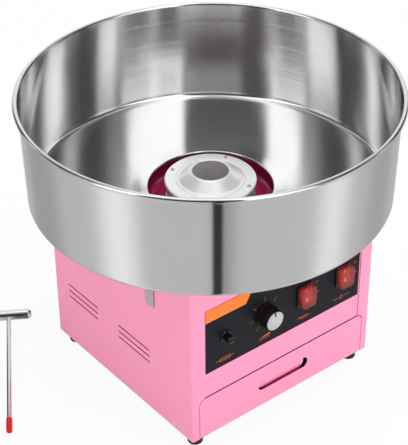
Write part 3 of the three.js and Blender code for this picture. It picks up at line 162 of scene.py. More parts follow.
# Fuse holder and its cap, in millimetres
FUSE_BODY_RADIUS = 6.4
FUSE_FLANGE = 2.5
FUSE_FLANGE_EDGE = 1.2
FUSE_FLANGE_BEVEL = 1.6
FUSE_BORE_RADIUS = 3.1
FUSE_BORE_DEPTH = 10.0
FUSE_PIN_RADIUS = 2.5
FUSE_PIN_LENGTH = 2.0
FUSE_CAP_TAPER = 0.3
FUSE_CAP_TAPER_END = 5.0
FUSE_FLUTES = 24
FUSE_FLUTE_DEPTH = 0.22
FUSE_FLUTE_START = 4.0
FUSE_FLUTE_END_GAP = 1.4
FUSE_FLUTE_SKIN = 0.5
FUSE_SLOT_WIDTH = 1.6
FUSE_SLOT_DEPTH = 1.5

# Ledge of the drawer pull, in millimetres: half its length, and its outline as (depth behind the
# drawer's face, height)
PULL_LEDGE_HALF_WIDTH = 35.0
PULL_LEDGE_OUTLINE = [(1.5, 20.0), (5.6, 27.4), (5.6, 28.2), (1.5, 21.2)]

# Splash boots, in millimetres
BOOT_WALL = 0.8
BOOT_ROUND = 3.0
BOOT_CORNER = 6.0
BOOT_STEPS = 6

# Feet, as shares of their radius and height
FOOT_DISH_RADIUS = 0.45
FOOT_DISH_DEPTH = 0.35
FOOT_SOLE_RADIUS = 0.88
FOOT_WIDEST_HEIGHT = 0.8
FOOT_TOP_RADIUS = 0.93

# Cable gland, in millimetres
GLAND_BORE = 4.0
GLAND_NECK_RADIUS = 6.7
GLAND_NECK_LENGTH = 16.0
GLAND_FLANGE = 4.0
GLAND_BEVEL = 1.0
GLAND_STEP = 2.0
GLAND_TAPER = 3.0
GLAND_SLEEVE = 28.0
GLAND_MOUTH_WALL = 2.0

# Scoop, in millimetres, lying on the floor
SCOOP_PLACE = Vector((-197.7, 244.6, -9.5))
SCOOP_HEADING_DEG = -122.5
SCOOP_REACH = 255.6
CUP_RADIUS = 8.0
CUP_LENGTH = 48.0
CUP_WALL = 0.9
CUP_BOTTOM_RADIUS = 0.6 * CUP_RADIUS
CUP_BOTTOM_RISE = 0.2
CUP_BOTTOM_CORNER = 4.5
CUP_FLOOR = 1.6
CUP_FLOOR_RADIUS = 0.55 * CUP_RADIUS
CUP_FLOOR_CORNER = 5.2
CUP_MOUTH_REACH = 13.5
ROD_RADIUS = 3.4
TIP_RADIUS = 4.4
TIP_LENGTH = 26.0
SEAT_GAP = 0.3

# Printed marks on the control plate, in millimetres
PRINT_HEIGHT = 0.08
PRINT_LINE = 0.7
LABEL_Z = 120.0
DIGIT_SIZE = 3.8
SWITCH_WORD_SIZE = 3.8
ON_OFFSET = (23.0, 10.0)
OFF_OFFSET = (24.6, -8.8)
DIAL_RADIUS = 20.0
DIAL_TICK = 3.2
DIAL_DIGIT_RADIUS = 25.5
DIAL_SWEEP_DEG = 300
DIAL_STEPS = 6

# Symbols under the controls, in millimetres
LEAD_REACH = 16.0
FUSE_BOX_HALF_SIZE = (9.0, 2.4)
WEDGE_HALF_LENGTH = 10.0
WEDGE_LOW, WEDGE_HIGH = 1.2, 5.0
WEDGE_LINE_DROP = 1.6
HEATER_TEETH = 5
HEATER_PITCH = 3.2
HEATER_DEPTH = 2.4
HEATER_LEAD = 4.0
POWER_RADIUS = 3.1
POWER_ARC_DEG = (125, 415)
POWER_STROKE = (0.8, 4.2)
POWER_LEAD_START = 6.5

# Marks on the rockers, in millimetres from their middles, and how far in front of a rocker the
# rays that lay them on it start
ROCKER_I = (4.6, 9.0)
ROCKER_I_WIDTH = 1.1
ROCKER_O_DROP = 7.0
ROCKER_O_RADIUS = 1.9
ROCKER_O_WIDTH = 0.9
ROCKER_RAY_LEAD = 5.0

# How far a cutting shape stands out of the piece that it cuts, in millimetres
CUT_MARGIN = 1.0

# Turn that makes a piece drawn along Z face the front
FRONT = Matrix.Rotation(math.pi / 2, 4, "X")

# Most of a side that one fillet takes, least cosine of half a turn that a sheet's edge keeps,
# and the radius below which a point is on the axis
FILLET_SHARE = 0.48
MITRE_COSINE = 0.3
ON_AXIS = 0.000001


# Outlines and meshes

def shift(x, y, z):
    """Matrix of a move."""
    return Matrix.Translation((x, y, z))


def new_object(name, data):
    """Object in the scene that shows some data."""
    obj = bpy.data.objects.new(name, data)
    bpy.context.scene.collection.objects.link(obj)
    return obj


def rounded(corners, steps, closed=True):
    """Points of an outline whose corners are (x, y, fillet radius)."""
    points = []
    count = len(corners)
    for i, (x, y, radius) in enumerate(corners):
        here = Vector((x, y))
        at_end = not closed and i in (0, count - 1)
        if radius <= 0 or at_end:
            points.append(here)
            continue
        before = Vector(corners[i - 1][:2]) - here
        after = Vector(corners[(i + 1) % count][:2]) - here
        half = before.angle(after) / 2
        reach = min(radius / math.tan(half), FILLET_SHARE * min(before.length, after.length))
        fillet = reach * math.tan(half)
        middle = (before.normalized() + after.normalized()).normalized()
        centre = here + middle * (fillet / math.sin(half))
        start = here + before.normalized() * reach - centre
        end = here + after.normalized() * reach - centre
        turn = start.angle(end)
        for k in range(steps + 1):
            share = k / steps
            first = math.sin((1 - share) * turn) / math.sin(turn)
            second = math.sin(share * turn) / math.sin(turn)
            points.append(centre + start * first + end * second)
    return points


def arc(centre_x, centre_y, radius, start_deg, end_deg, steps):
    """Points on an arc, both ends included."""
    points = []
    for k in range(steps + 1):
        angle = math.radians(start_deg + (end_deg - start_deg) * k / steps)
        across, up = radius * math.cos(angle), radius * math.sin(angle)
        points.append(Vector((centre_x + across, centre_y + up)))
    return points


def sheet_outline(path, thickness):
    """Closed outline of a sheet of one thickness that follows a centre line."""
    left, right = [], []
    for i, here in enumerate(path):
        step_in = here - path[i - 1] if i else path[1] - here
        step_out = path[i + 1] - here if i + 1 < len(path) else step_in
        middle = (step_in.normalized() + step_out.normalized()).normalized()
        half = thickness / 2 / max(middle.dot(step_in.normalized()), MITRE_COSINE)
        across = Vector((-middle.y, middle.x)) * half
        left.append(here + across)
        right.append(here - across)
    return left + right[::-1]


def smooth_by_angle(mesh):
    """Smooth shading, with every turn sharper than an angle left as an edge."""
    mesh.polygons.foreach_set("use_smooth", [True] * len(mesh.polygons))
    mesh.set_sharp_from_angle(angle=math.radians(SMOOTH_ANGLE_DEG))


def finish_mesh(bm, matrix=Matrix.Identity(4)):
    """Mesh in metres, from a bmesh drawn in millimetres."""
    bmesh.ops.recalc_face_normals(bm, faces=bm.faces)
    mesh = bpy.data.meshes.new("mesh")
    bm.to_mesh(mesh)
    bm.free()
    mesh.transform(Matrix.Diagonal((MM, MM, MM, 1)) @ matrix)
    smooth_by_angle(mesh)
    return mesh


def join_rings(bm, ring, above):
    """Faces between two rings of corners, either of which may be a single point."""
    count = max(len(ring), len(above))
    for k in range(count):
        j = (k + 1) % count
        near = (ring[k % len(ring)], ring[j % len(ring)])
        far = (above[j % len(above)], above[k % len(above)])
        bm.faces.new(list(dict.fromkeys(near + far)))


def lathe(outline, segments, matrix=Matrix.Identity(4), radius_at=None):
    """Closed outline of (radius, height) turned round Z; radius_at shapes each angle."""
    bm = bmesh.new()
    rings = []
    for radius, height in outline:
        if radius < ON_AXIS:
            rings.append([bm.verts.new((0, 0, height))])
            continue
        ring = []
        for k in range(segments):
            angle = 2 * math.pi * k / segments
            here = radius_at(radius, height, angle) if radius_at else radius
            ring.append(bm.verts.new((here * math.cos(angle), here * math.sin(angle), height)))
        rings.append(ring)
    for ring, above in zip(rings, rings[1:] + rings[:1]):
        if len(ring) > 1 or len(above) > 1:
            join_rings(bm, ring, above)
    return finish_mesh(bm, matrix)


def add_prism(bm, corners, low_y, high_y):
    """Flat-sided plate whose outline is (x, z) points in the front plane."""
    front = [bm.verts.new((x, low_y, z)) for x, z in corners]
    back = [bm.verts.new((x, high_y, z)) for x, z in corners]
    bm.faces.new(front)
    bm.faces.new(back[::-1])
    join_rings(bm, front, back)


def add_bar(bm, start, end, width, low_y, high_y):
    """Straight bar in the front plane, from one (x, z) to another."""
    start, end = Vector(start), Vector(end)
    along = (end - start).normalized()
    across = Vector((-along.y, along.x)) * (width / 2)
    corners = [start - across, end - across, end + across, start + across]
    add_prism(bm, corners, low_y, high_y)


def add_ring_arc(bm, centre, radius, width, start_deg, end_deg, low_y, high_y, steps=20):
    """Part of a flat ring in the front plane."""
    outer = arc(*centre, radius + width / 2, start_deg, end_deg, steps)
    inner = arc(*centre, radius - width / 2, start_deg, end_deg, steps)
    for k in range(steps):
        add_prism(bm, [inner[k], outer[k], outer[k + 1], inner[k + 1]], low_y, high_y)


def add_text(bm, text, size, centre, low_y, high_y):
    """Plain text in the front plane, centred at (x, z)."""
    curve = bpy.data.curves.new("text", "FONT")
    curve.body = text
    curve.size = size
    curve.align_x = "CENTER"
    curve.align_y = "CENTER"
    curve.resolution_u = 3
    curve.extrude = (high_y - low_y) / 2
    holder = new_object("text", curve)
    bpy.context.view_layer.update()
    evaluated = holder.evaluated_get(bpy.context.evaluated_depsgraph_get())
    mesh = bpy.data.meshes.new_from_object(evaluated)
    bpy.data.objects.remove(holder)
    bpy.data.curves.remove(curve)
    mesh.transform(shift(centre[0], (low_y + high_y) / 2, centre[1]) @ FRONT)
    bm.from_mesh(mesh)
    bpy.data.meshes.remove(mesh)


def add_piece(name, mesh, look, body, replaces=(), slot=None):
    """One piece of the object, riding on a body, shown in its look. The slot argument is not used."""
    slot = slot or look
    obj = new_object(name, mesh)
    mesh.name = name
    mesh.materials.append(LOOKS[look])
    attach(obj, body)
    if replaces:
        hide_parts(*replaces)
    return obj


def carve(obj, bm):
    """Cuts the closed shapes of a bmesh out of a piece."""
    cutter = new_object("cutter", finish_mesh(bm))
    boolean = obj.modifiers.new("carve", "BOOLEAN")
    boolean.operation = "DIFFERENCE"
    boolean.solver = "EXACT"
    boolean.use_self = True
    boolean.object = cutter
    bpy.context.view_layer.update()
    evaluated = obj.evaluated_get(bpy.context.evaluated_depsgraph_get())
    mesh = bpy.data.meshes.new_from_object(evaluated)
    obj.modifiers.remove(boolean)
    old = obj.data
    obj.data = mesh
    mesh.name = old.name
    bpy.data.meshes.remove(old)
    smooth_by_angle(mesh)
    cutter_mesh = cutter.data
    bpy.data.objects.remove(cutter)
    bpy.data.meshes.remove(cutter_mesh)


# Materials

class Graph:
    """Short calls for a node tree."""

    def __init__(self, tree):
        self.tree = tree

    def add(self, kind, **settings):
        node = self.tree.nodes.new(kind)
        for key, value in settings.items():
            setattr(node, key, value)
        return node

    def feed(self, socket, value):
        if isinstance(value, bpy.types.NodeSocket):
            self.tree.links.new(value, socket)
        else:
            socket.default_value = value

    def math(self, operation, first, second=0.0):
        node = self.add("ShaderNodeMath", operation=operation)
        self.feed(node.inputs[0], first)
        self.feed(node.inputs[1], second)
        return node.outputs[0]

    def vector(self, operation, *values):
        """Result of a vector operation, which is a number for a dot product."""
        node = self.add("ShaderNodeVectorMath", operation=operation)
        for socket, value in zip(node.inputs, values):
            self.feed(socket, value)
        return node.outputs["Value" if operation == "DOT_PRODUCT" else "Vector"]

    def parts(self, vector):
        """Outputs X, Y and Z of a vector."""
        node = self.add("ShaderNodeSeparateXYZ")
        self.feed(node.inputs[0], vector)
        return node.outputs

    def mix(self, factor, first, second, kind="FLOAT"):
        """A number between two others, or a colour with the kind RGBA."""
        node = self.add("ShaderNodeMix", data_type=kind)
        self.feed(node.inputs["Factor"], factor)
        self.feed(node.inputs["A"], first)
        self.feed(node.inputs["B"], second)
        return node.outputs["Result"]

    def ease(self, value, low, high, to_low=0.0, to_high=1.0):
        node = self.add("ShaderNodeMapRange", interpolation_type="SMOOTHSTEP")
        self.feed(node.inputs["Value"], value)
        limits = {"From Min": low, "From Max": high, "To Min": to_low, "To Max": to_high}
        for name, number in limits.items():
            node.inputs[name].default_value = number
        return node.outputs[0]

    def coordinates(self):
        """Object coordinates, in metres."""
        return self.add("ShaderNodeTexCoord").outputs["Object"]

    def place(self, scale=(1, 1, 1)):
        """Object coordinates, stretched by a scale along each axis."""
        mapping = self.add("ShaderNodeMapping")
        mapping.inputs["Scale"].default_value = scale
        self.feed(mapping.inputs["Vector"], self.coordinates())
        return mapping.outputs[0]

    def axis_distance(self, vector, axis):
        """Distance of a point from the X, Y or Z axis."""
        parts = self.parts(vector)
        squares = [self.math("POWER", parts[letter], 2.0) for letter in "XYZ" if letter != axis]
        return self.math("SQRT", self.math("ADD", *squares))

    def noise(self, vector, scale, detail):
        node = self.add("ShaderNodeTexNoise")
        self.feed(node.inputs["Vector"], vector)
        node.inputs["Scale"].default_value = scale
        node.inputs["Detail"].default_value = detail
        return node.outputs["Fac"]

    def spread(self, value, low, high):
        """A noise value from 0.3 to 0.7 made to span low to high."""
        return self.ease(value, 0.3, 0.7, low, high)

    def bump(self, height, distance, strength):
        node = self.add("ShaderNodeBump")
        self.feed(node.inputs["Height"], height)
        node.inputs["Distance"].default_value = distance
        node.inputs["Strength"].default_value = strength
        return node.outputs[0]


def linear(red, green, blue):
    """Linear colour from 0 to 255 sRGB numbers."""
    values = []
    for part in (red, green, blue):
        part /= 255
        values.append(part / 12.92 if part <= 0.04045 else ((part + 0.055) / 1.055) ** 2.4)
    return tuple(values)


# Materials by name
LOOKS = {}


def principled(name, **inputs):
    """Adds a material to the looks, and gives its graph and its shader with some values set."""
    material = bpy.data.materials.new(name)
    material.use_nodes = True
    graph = Graph(material.node_tree)
    shader = material.node_tree.nodes["Principled BSDF"]
    for key, value in inputs.items():
        shader.inputs[key.replace("_", " ")].default_value = value
    LOOKS[name] = material
    return graph, shader


def scaled(colour, factor):
    """A colour made darker or lighter, with its alpha."""
    return (*(min(part * factor, 1.0) for part in colour), 1)


def drifting(graph, colour, scale, detail, darkest, lightest):
    """A colour that drifts between a darker and a lighter share of itself."""
    cloud = graph.noise(graph.place(), scale, detail)
    return graph.mix(cloud, scaled(colour, darkest), scaled(colour, lightest), "RGBA")


def cover(graph, shader, colour, roughness, normal):
    """Feeds a shader the colour, roughness and relief of its surface."""
    graph.feed(shader.inputs["Base Color"], colour)
    graph.feed(shader.inputs["Roughness"], roughness)
    graph.feed(shader.inputs["Normal"], normal)


def enamel(name, colour, gloss_roughness=0.3, coat=0.35):
    """Baked gloss enamel: faint orange peel, a little colour drift and fine dust."""
    graph, shader = principled(name, Coat_Weight=coat, Coat_Roughness=0.12)
    peel = graph.noise(graph.place(), scale=520.0, detail=2.0)
    dust = graph.noise(graph.place(), scale=2600.0, detail=1.0)
    cover(
        graph, shader,
        colour=drifting(graph, colour, scale=9.0, detail=2.0, darkest=0.97, lightest=1.02),
        roughness=graph.spread(dust, gloss_roughness - 0.04, gloss_roughness + 0.06),
        normal=graph.bump(peel, distance=0.00006, strength=0.35),
    )


def metal(name, colour, roughness, streak_scale, streak_depth, spread=0.05):
    """Bare metal with fine machining or polishing lines."""
    graph, shader = principled(name, Metallic=1.0)
    lines = graph.noise(graph.place(streak_scale), scale=1.0, detail=2.0)
    cover(
        graph, shader,
        colour=drifting(graph, colour, scale=14.0, detail=3.0, darkest=0.96, lightest=1.02),
        roughness=graph.spread(lines, roughness - spread, roughness + spread),
        normal=graph.bump(lines, streak_depth, strength=0.5),
    )


def spun_steel(name, colour, roughness, line_pitch, tilt):
    """Polished spun sheet, whose fine lines run round it and smear reflections across them."""
    graph, shader = principled(name, Metallic=1.0, Anisotropic=1.0, Anisotropic_Rotation=0.25)
    place = graph.coordinates()
    profile = graph.add("ShaderNodeCombineXYZ")
    graph.feed(profile.inputs["X"], graph.axis_distance(place, "Z"))
    graph.feed(profile.inputs["Z"], graph.parts(place)["Z"])
    lines = graph.noise(profile.outputs[0], scale=1 / line_pitch, detail=1.0)
    tangent = graph.add("ShaderNodeTangent", direction_type="RADIAL", axis="Z").outputs[0]
    graph.feed(shader.inputs["Tangent"], tangent)
    normal = graph.add("ShaderNodeNewGeometry").outputs["Normal"]
    across = graph.vector("CROSS_PRODUCT", normal, tangent)
    lean = graph.math("MULTIPLY", graph.math("SUBTRACT", lines, 0.5), tilt)
    tilted = graph.vector("MULTIPLY_ADD", across, lean, normal)
    cover(
        graph, shader,
        colour=drifting(graph, colour, scale=14.0, detail=3.0, darkest=0.98, lightest=1.01),
        roughness=graph.spread(lines, roughness - 0.02, roughness + 0.02),
        normal=graph.vector("NORMALIZE", tilted),
    )


def ring_lines(graph, axis, pitch):
    """A height that repeats with the distance from an axis, as a lathe leaves it."""
    place = graph.coordinates()
    wobble = graph.math("MULTIPLY", graph.noise(place, scale=60.0, detail=1.0), pitch * 2)
    distance = graph.math("ADD", graph.axis_distance(place, axis), wobble)
    return graph.math("SINE", graph.math("MULTIPLY", distance, 2 * math.pi / pitch))


def turned_metal(name, colour, roughness, pitch, axis="Z", metallic=1.0, anisotropic=0.0):
    """Metal turned on a lathe, with fine rings round its axis."""
    graph, shader = principled(name, Metallic=metallic, Anisotropic=anisotropic)
    rings = ring_lines(graph, axis, pitch)
    cover(
        graph, shader,
        colour=drifting(graph, colour, scale=30.0, detail=3.0, darkest=0.95, lightest=1.02),
        roughness=graph.ease(rings, -1.0, 1.0, roughness - 0.05, roughness + 0.05),
        normal=graph.bump(rings, distance=0.000004, strength=0.6),
    )
    if anisotropic:
        tangent = graph.add("ShaderNodeTangent", direction_type="RADIAL", axis=axis)
        graph.feed(shader.inputs["Tangent"], tangent.outputs[0])


def moulded(name, colour, roughness, grain_scale=1400.0, grain_depth=0.00003, **inputs):
    """Moulded plastic or rubber with a fine spark-eroded grain."""
    graph, shader = principled(name, **inputs)
    grain = graph.noise(graph.place(), grain_scale, detail=2.0)
    cover(
        graph, shader,
        colour=drifting(graph, colour, scale=25.0, detail=2.0, darkest=0.92, lightest=1.06),
        roughness=graph.spread(grain, roughness - 0.05, roughness + 0.07),
        normal=graph.bump(grain, grain_depth, strength=0.5),
    )


def make_metals():
    """Bare metal."""
    spun_steel("polished_steel", (0.88, 0.883, 0.887), 0.15, line_pitch=0.0004, tilt=0.2)
    metal("scoop_steel", (0.82, 0.82, 0.83), 0.16, (200, 200, 200), 0.000004, 0.04)
    metal("zinc_steel", (0.78, 0.77, 0.74), 0.32, (30, 30, 900), 0.00001)
    metal("cast_aluminium", (0.72, 0.73, 0.74), 0.42, (500, 500, 500), 0.00004, 0.08)
    turned_metal(
        "spun_aluminium", (0.96, 0.964, 0.97), 0.36, pitch=0.0011, metallic=0.5, anisotropic=0.5,
    )
    turned_metal("knob_silver", (0.86, 0.87, 0.88), 0.27, pitch=0.0005, axis="Y", anisotropic=0.8)
    turned_metal("brass", (0.78, 0.58, 0.28), 0.28, pitch=0.0006)
    metal("copper", (0.70, 0.34, 0.18), 0.4, (900, 900, 40), 0.00006, 0.08)
    metal("nichrome", (0.30, 0.27, 0.25), 0.5, (40, 40, 900), 0.00002, 0.08)


def make_plastics():
    """Plastic, rubber, glass, carbon and ink."""
    moulded("plate_black", linear(28, 27, 33), 0.45, 2200.0, 0.00001, Specular_IOR_Level=0.15)
    moulded("accent_orange", linear(250, 128, 34), 0.42, 2200.0, 0.00001)
    moulded("black_plastic", linear(15, 15, 17), 0.3, 900.0, 0.00002)
    moulded(
        "red_plastic", linear(206, 26, 22), 0.18, 400.0, 0.00001,
        Subsurface_Weight=0.15, Subsurface_Radius=(0.006, 0.001, 0.0008), Subsurface_Scale=0.6,
    )
    # The boots' clear plastic is tinted red: painted light of the red rockers seen through them.
    moulded("clear_plastic", (0.5, 0.1, 0.08), 0.06, 300.0, 0.000005, Alpha=0.24)
    moulded("glass", (0.9, 0.94, 0.95), 0.08, 300.0, 0.000005, Alpha=0.35)
    moulded("rubber", linear(28, 26, 27), 0.62, 800.0, 0.00005)
    moulded("carbon", linear(40, 39, 38), 0.6, 1800.0, 0.00006)
    moulded("white_plastic", linear(228, 226, 220), 0.45)
    moulded("orange_print", linear(208, 94, 44), 0.5, 3000.0, 0.000005)
    moulded("white_print", linear(244, 232, 226), 0.45, 3000.0, 0.000005)


def make_enamels():
    """Painted sheet."""
    enamel("pink_enamel", linear(252, 152, 189))
    # The rose enamel is a darker copy of the pink enamel: painted shade of the pink sheet deep in the
    # well and under the drawer pull.
    enamel("rose_enamel", linear(162, 22, 80), gloss_roughness=0.25, coat=0.5)


NODE_SLOTS = {row["node"]: row["material_slot"] for row in frame["record"]["subparts"]}
BODY_NODES = frame["record"]["behaviour"]["bodies"]
NODE_BODIES = {node: body for body, nodes in BODY_NODES.items() for node in nodes}

# Edge rounding of carried-over nodes, in millimetres
EDGE_ROUNDING = {
    "body_shell": 0.3,
    "front_panel": 0.3,
    "drawer_front": 0.3,
    "control_plate": 0.12,
    "accent_strip": 0.12,
    "heat_switch_case": 0.4,
    "power_switch_case": 0.4,
    "heat_rocker": 0.5,
    "power_rocker": 0.5,
    "drawer_tray": 0.25,
}
DEFAULT_ROUNDING = 0.2
WELD_DISTANCE = 0.002
FLAT_ANGLE_DEG = 0.4


def dress_nodes():
    """Gives every carried-over node its material, soft edges and smooth curves."""
    for name, obj in frame["nodes"].items():
        obj.data.materials.clear()
        obj.data.materials.append(LOOKS[NODE_SLOTS[name]])
        for attribute in ("custom_normal", "sharp_edge", "sharp_face"):
            if attribute in obj.data.attributes:
                obj.data.attributes.remove(obj.data.attributes[attribute])
        weld = obj.modifiers.new("weld", "WELD")
        weld.merge_threshold = WELD_DISTANCE * MM
        flatten = obj.modifiers.new("flatten", "DECIMATE")
        flatten.decimate_type = "DISSOLVE"
        flatten.angle_limit = math.radians(FLAT_ANGLE_DEG)
        bevel = obj.modifiers.new("edges", "BEVEL")
        bevel.width = EDGE_ROUNDING.get(name, DEFAULT_ROUNDING) * MM
        bevel.segments = 2
        bevel.limit_method = "ANGLE"
        bevel.angle_limit = math.radians(SMOOTH_ANGLE_DEG)
        bevel.harden_normals = True
        bevel.use_clamp_overlap = True


# Pieces

def make_bowl():
    """Spun bowl: raised collar, flat floor, rounded foot and rolled rim."""
    low, high = (corner.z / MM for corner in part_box("bowl"))
    rim_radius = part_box("bowl")[1].x / MM
    half = BOWL_SHEET / 2
    floor = low + half
    lip = BOWL_OPENING_RADIUS + half
    bead_z = high - BOWL_BEAD_RADIUS
    bead_radius = rim_radius - BOWL_BEAD_RADIUS
    corners = [
        (lip, floor + BOWL_LIP_RISE, 0),
        (lip, floor + BOWL_COLLAR_HEIGHT, BOWL_COLLAR_ROUND),
        (BOWL_COLLAR_FOOT, floor, BOWL_COLLAR_SWEEP),
        (BOWL_BASE_RADIUS - half, floor, BOWL_CORNER_RADIUS),
        (BOWL_WALL_TOP_RADIUS, bead_z - BOWL_BEAD_RADIUS, 0),
    ]
    path = rounded(corners, 10, closed=False)
    path += arc(bead_radius, bead_z, BOWL_BEAD_RADIUS - half, 180, BOWL_BEAD_END_DEG, 26)
    mesh = lathe(sheet_outline(path, BOWL_SHEET), 256)
    add_piece("bowl_formed", mesh, "polished_steel", "bowl_unit", ["bowl"])


def make_well():
    """Pan that the head turns in, in the darker rose enamel as painted shade of the pink sheet deep
    in the well.
    """
    low, high = (corner.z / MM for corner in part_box("head_well"))
    half = WELL_SHEET / 2
    corners = [
        (WELL_RADIUS + WELL_FLANGE, high - half, 0),
        (WELL_RADIUS + half, high - half, 2.5),
        (WELL_RADIUS + half, low + half, WELL_CORNER_RADIUS),
        (WELL_NECK_RADIUS + half, low + half, 3),
        (WELL_NECK_RADIUS + half, low + half + WELL_NECK_HEIGHT, 0),
    ]
    mesh = lathe(sheet_outline(rounded(corners, 8, closed=False), WELL_SHEET), 160)
    add_piece("well_pan", mesh, "rose_enamel", "machine", ["head_well"])


def cap_top():
    """Level of the cap's flat ring, in millimetres."""
    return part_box("head_cap")[1].z / MM - CAP_CONE_HEIGHT


def make_head_cap():
    """Spun cap: rolled skirt, flat ring, groove and a flared sugar funnel."""
    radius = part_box("head_cap")[1].x / MM
    half = CAP_SHEET / 2
    top = cap_top() - half
    cone_top = cap_top() + CAP_CONE_HEIGHT - half
    hole = CAP_HOLE_RADIUS + half
    groove = CAP_GROOVE_RADIUS
    corners = [
        (radius - half, top - CAP_SKIRT + half, 0),
        (radius - half, top, 1.6),
        (groove + CAP_GROOVE_WIDTH / 2, top, 0.5),
        (groove, top - CAP_GROOVE_DEPTH, 0.4),
        (groove - CAP_GROOVE_WIDTH / 2, top, 0.5),
        (groove - CAP_CONE_FOOT_INSET, top + CAP_CONE_FOOT_RISE, 5),
        (CAP_CONE_RADIUS + CAP_SHOULDER_WIDTH, cone_top - CAP_SHOULDER_DROP, 7),
        (CAP_CONE_RADIUS - CAP_BROW_INSET, cone_top, 1.1),
        (hole, cone_top - CAP_HOLE_DROP, 1.0),
        (hole, top - CAP_SLEEVE_DEPTH, 0),
    ]
    path = rounded(corners, 7, closed=False)
    mesh = lathe(sheet_outline(path, CAP_SHEET), 192)
    add_piece("cap_formed", mesh, "spun_aluminium", "head", ["head_cap"])


def make_head_screws():
    """Pan-head cross-slot screws that hold the cap."""
    outline = rounded([
        (0, 0, 0),
        (SCREW_HEAD_RADIUS, 0, 0.15),
        (SCREW_HEAD_RADIUS, SCREW_SIDE_HEIGHT, 0.5),
        (SCREW_CROWN_RADIUS, SCREW_HEAD_HEIGHT, 1.2),
        (0, SCREW_HEAD_HEIGHT, 0),
    ], 5)
    slot = Matrix.Diagonal((SCREW_SLOT_LENGTH, SCREW_SLOT_WIDTH, SCREW_SLOT_HEIGHT, 1))
    for i in range(SCREW_COUNT):
        angle = math.radians(SCREW_ANGLE_DEG) + 2 * math.pi * i / SCREW_COUNT
        place = shift(SCREW_CIRCLE * math.cos(angle), SCREW_CIRCLE * math.sin(angle), cap_top())
        mesh = lathe(outline, 32, place)
        screw = add_piece(f"cap_screw_{i + 1}", mesh, "zinc_steel", "head")
        bm = bmesh.new()
        for turn in (SCREW_SLOT_TURN_RAD, SCREW_SLOT_TURN_RAD + math.pi / 2):
            across = shift(0, 0, SCREW_HEAD_HEIGHT) @ Matrix.Rotation(turn + i, 4, "Z")
            bmesh.ops.create_cube(bm, size=1.0, matrix=place @ across @ slot)
        carve(screw, bm)


def front_place(node):
    """Matrix that puts a front-facing turned piece on a node's axis and rear face."""
    low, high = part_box(node)
    centre = (low + high) / (2 * MM)
    return shift(centre.x, high.y / MM, centre.z) @ FRONT


def turned_size(node):
    """Radius, length along Y, front and middle of a turned node, in millimetres."""
    low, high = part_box(node)
    return (high.x - low.x) / (2 * MM), (high.y - low.y) / MM, low.y / MM, (low + high) / (2 * MM)


def make_knob():
    """Knob: thin skirt, ribbed grip that tapers, and a recess for the silver disc."""
    radius = turned_size("control_knob")[0]
    recess_floor = KNOB_HEIGHT - KNOB_RECESS_DEPTH
    outline = rounded([
        (KNOB_BORE_RADIUS, 0, 0),
        (radius, 0, 0.3),
        (radius, KNOB_SKIRT_HEIGHT, 0.9),
        (KNOB_BODY_RADIUS, KNOB_SKIRT_HEIGHT, 0.6),
        (KNOB_BODY_RADIUS, KNOB_SKIRT_HEIGHT + KNOB_SHOULDER_HEIGHT, 0),
        (KNOB_TOP_RADIUS, KNOB_HEIGHT, 0.9),
        (KNOB_RECESS_RADIUS, KNOB_HEIGHT, 0.2),
        (KNOB_RECESS_RADIUS, recess_floor, 0.2),
        (KNOB_BORE_RADIUS, recess_floor, 0),
    ], 4)

    def ribs(here, height, angle):
        in_grip = KNOB_RIB_START < height < KNOB_RIB_END and here > KNOB_RIB_INSIDE
        if not in_grip:
            return here
        wave = KNOB_RIB_FLATNESS * math.cos(angle * KNOB_RIBS)
        return here - KNOB_RIB_DEPTH * (0.5 - 0.5 * max(-1.0, min(1.0, wave)))

    mesh = lathe(outline, KNOB_RIBS * 8, front_place("control_knob"), ribs)
    add_piece("knob_grip", mesh, "black_plastic", "knob", ["control_knob"])


def make_knob_cap():
    """Silver disc with a turned face and a notch that shows the black grip as a pointer."""
    radius, depth, front, centre = turned_size("knob_cap")
    outline = rounded([(0, 0, 0), (radius, 0, 0.1), (radius, depth, 0.35), (0, depth, 0)], 4)
    mesh = lathe(outline, 128, front_place("knob_cap"))
    disc = add_piece("knob_disc", mesh, "knob_silver", "knob", ["knob_cap"])
    left, right = centre.x - NOTCH_HALF_WIDTH, centre.x + NOTCH_HALF_WIDTH
    top = centre.z + radius + CUT_MARGIN
    tip = centre.z + radius * NOTCH_TIP_SHARE
    shoulder = tip + NOTCH_POINT
    corners = [(left, top), (left, shoulder), (centre.x, tip), (right, shoulder), (right, top)]
    bm = bmesh.new()
    add_prism(bm, corners, front - CUT_MARGIN, front + depth + CUT_MARGIN)
    carve(disc, bm)


def make_fuse_holder():
    """Fuse holder's barrel and round bevelled flange."""
    radius, depth = turned_size("fuse_holder")[:2]
    outline = rounded([
        (0, 0, 0),
        (FUSE_BODY_RADIUS, 0, 0.5),
        (FUSE_BODY_RADIUS, depth - FUSE_FLANGE, 0),
        (radius, depth - FUSE_FLANGE, 0.2),
        (radius, depth - FUSE_FLANGE_EDGE, 0.7),
        (radius - FUSE_FLANGE_BEVEL, depth, 0.5),
        (FUSE_BORE_RADIUS, depth, 0.3),
        (FUSE_BORE_RADIUS, FUSE_BORE_DEPTH, 0),
        (0, FUSE_BORE_DEPTH, 0),
    ], 5)
    mesh = lathe(outline, 96, front_place("fuse_holder"))
    add_piece("fuse_socket", mesh, "black_plastic", "machine", ["fuse_holder"])


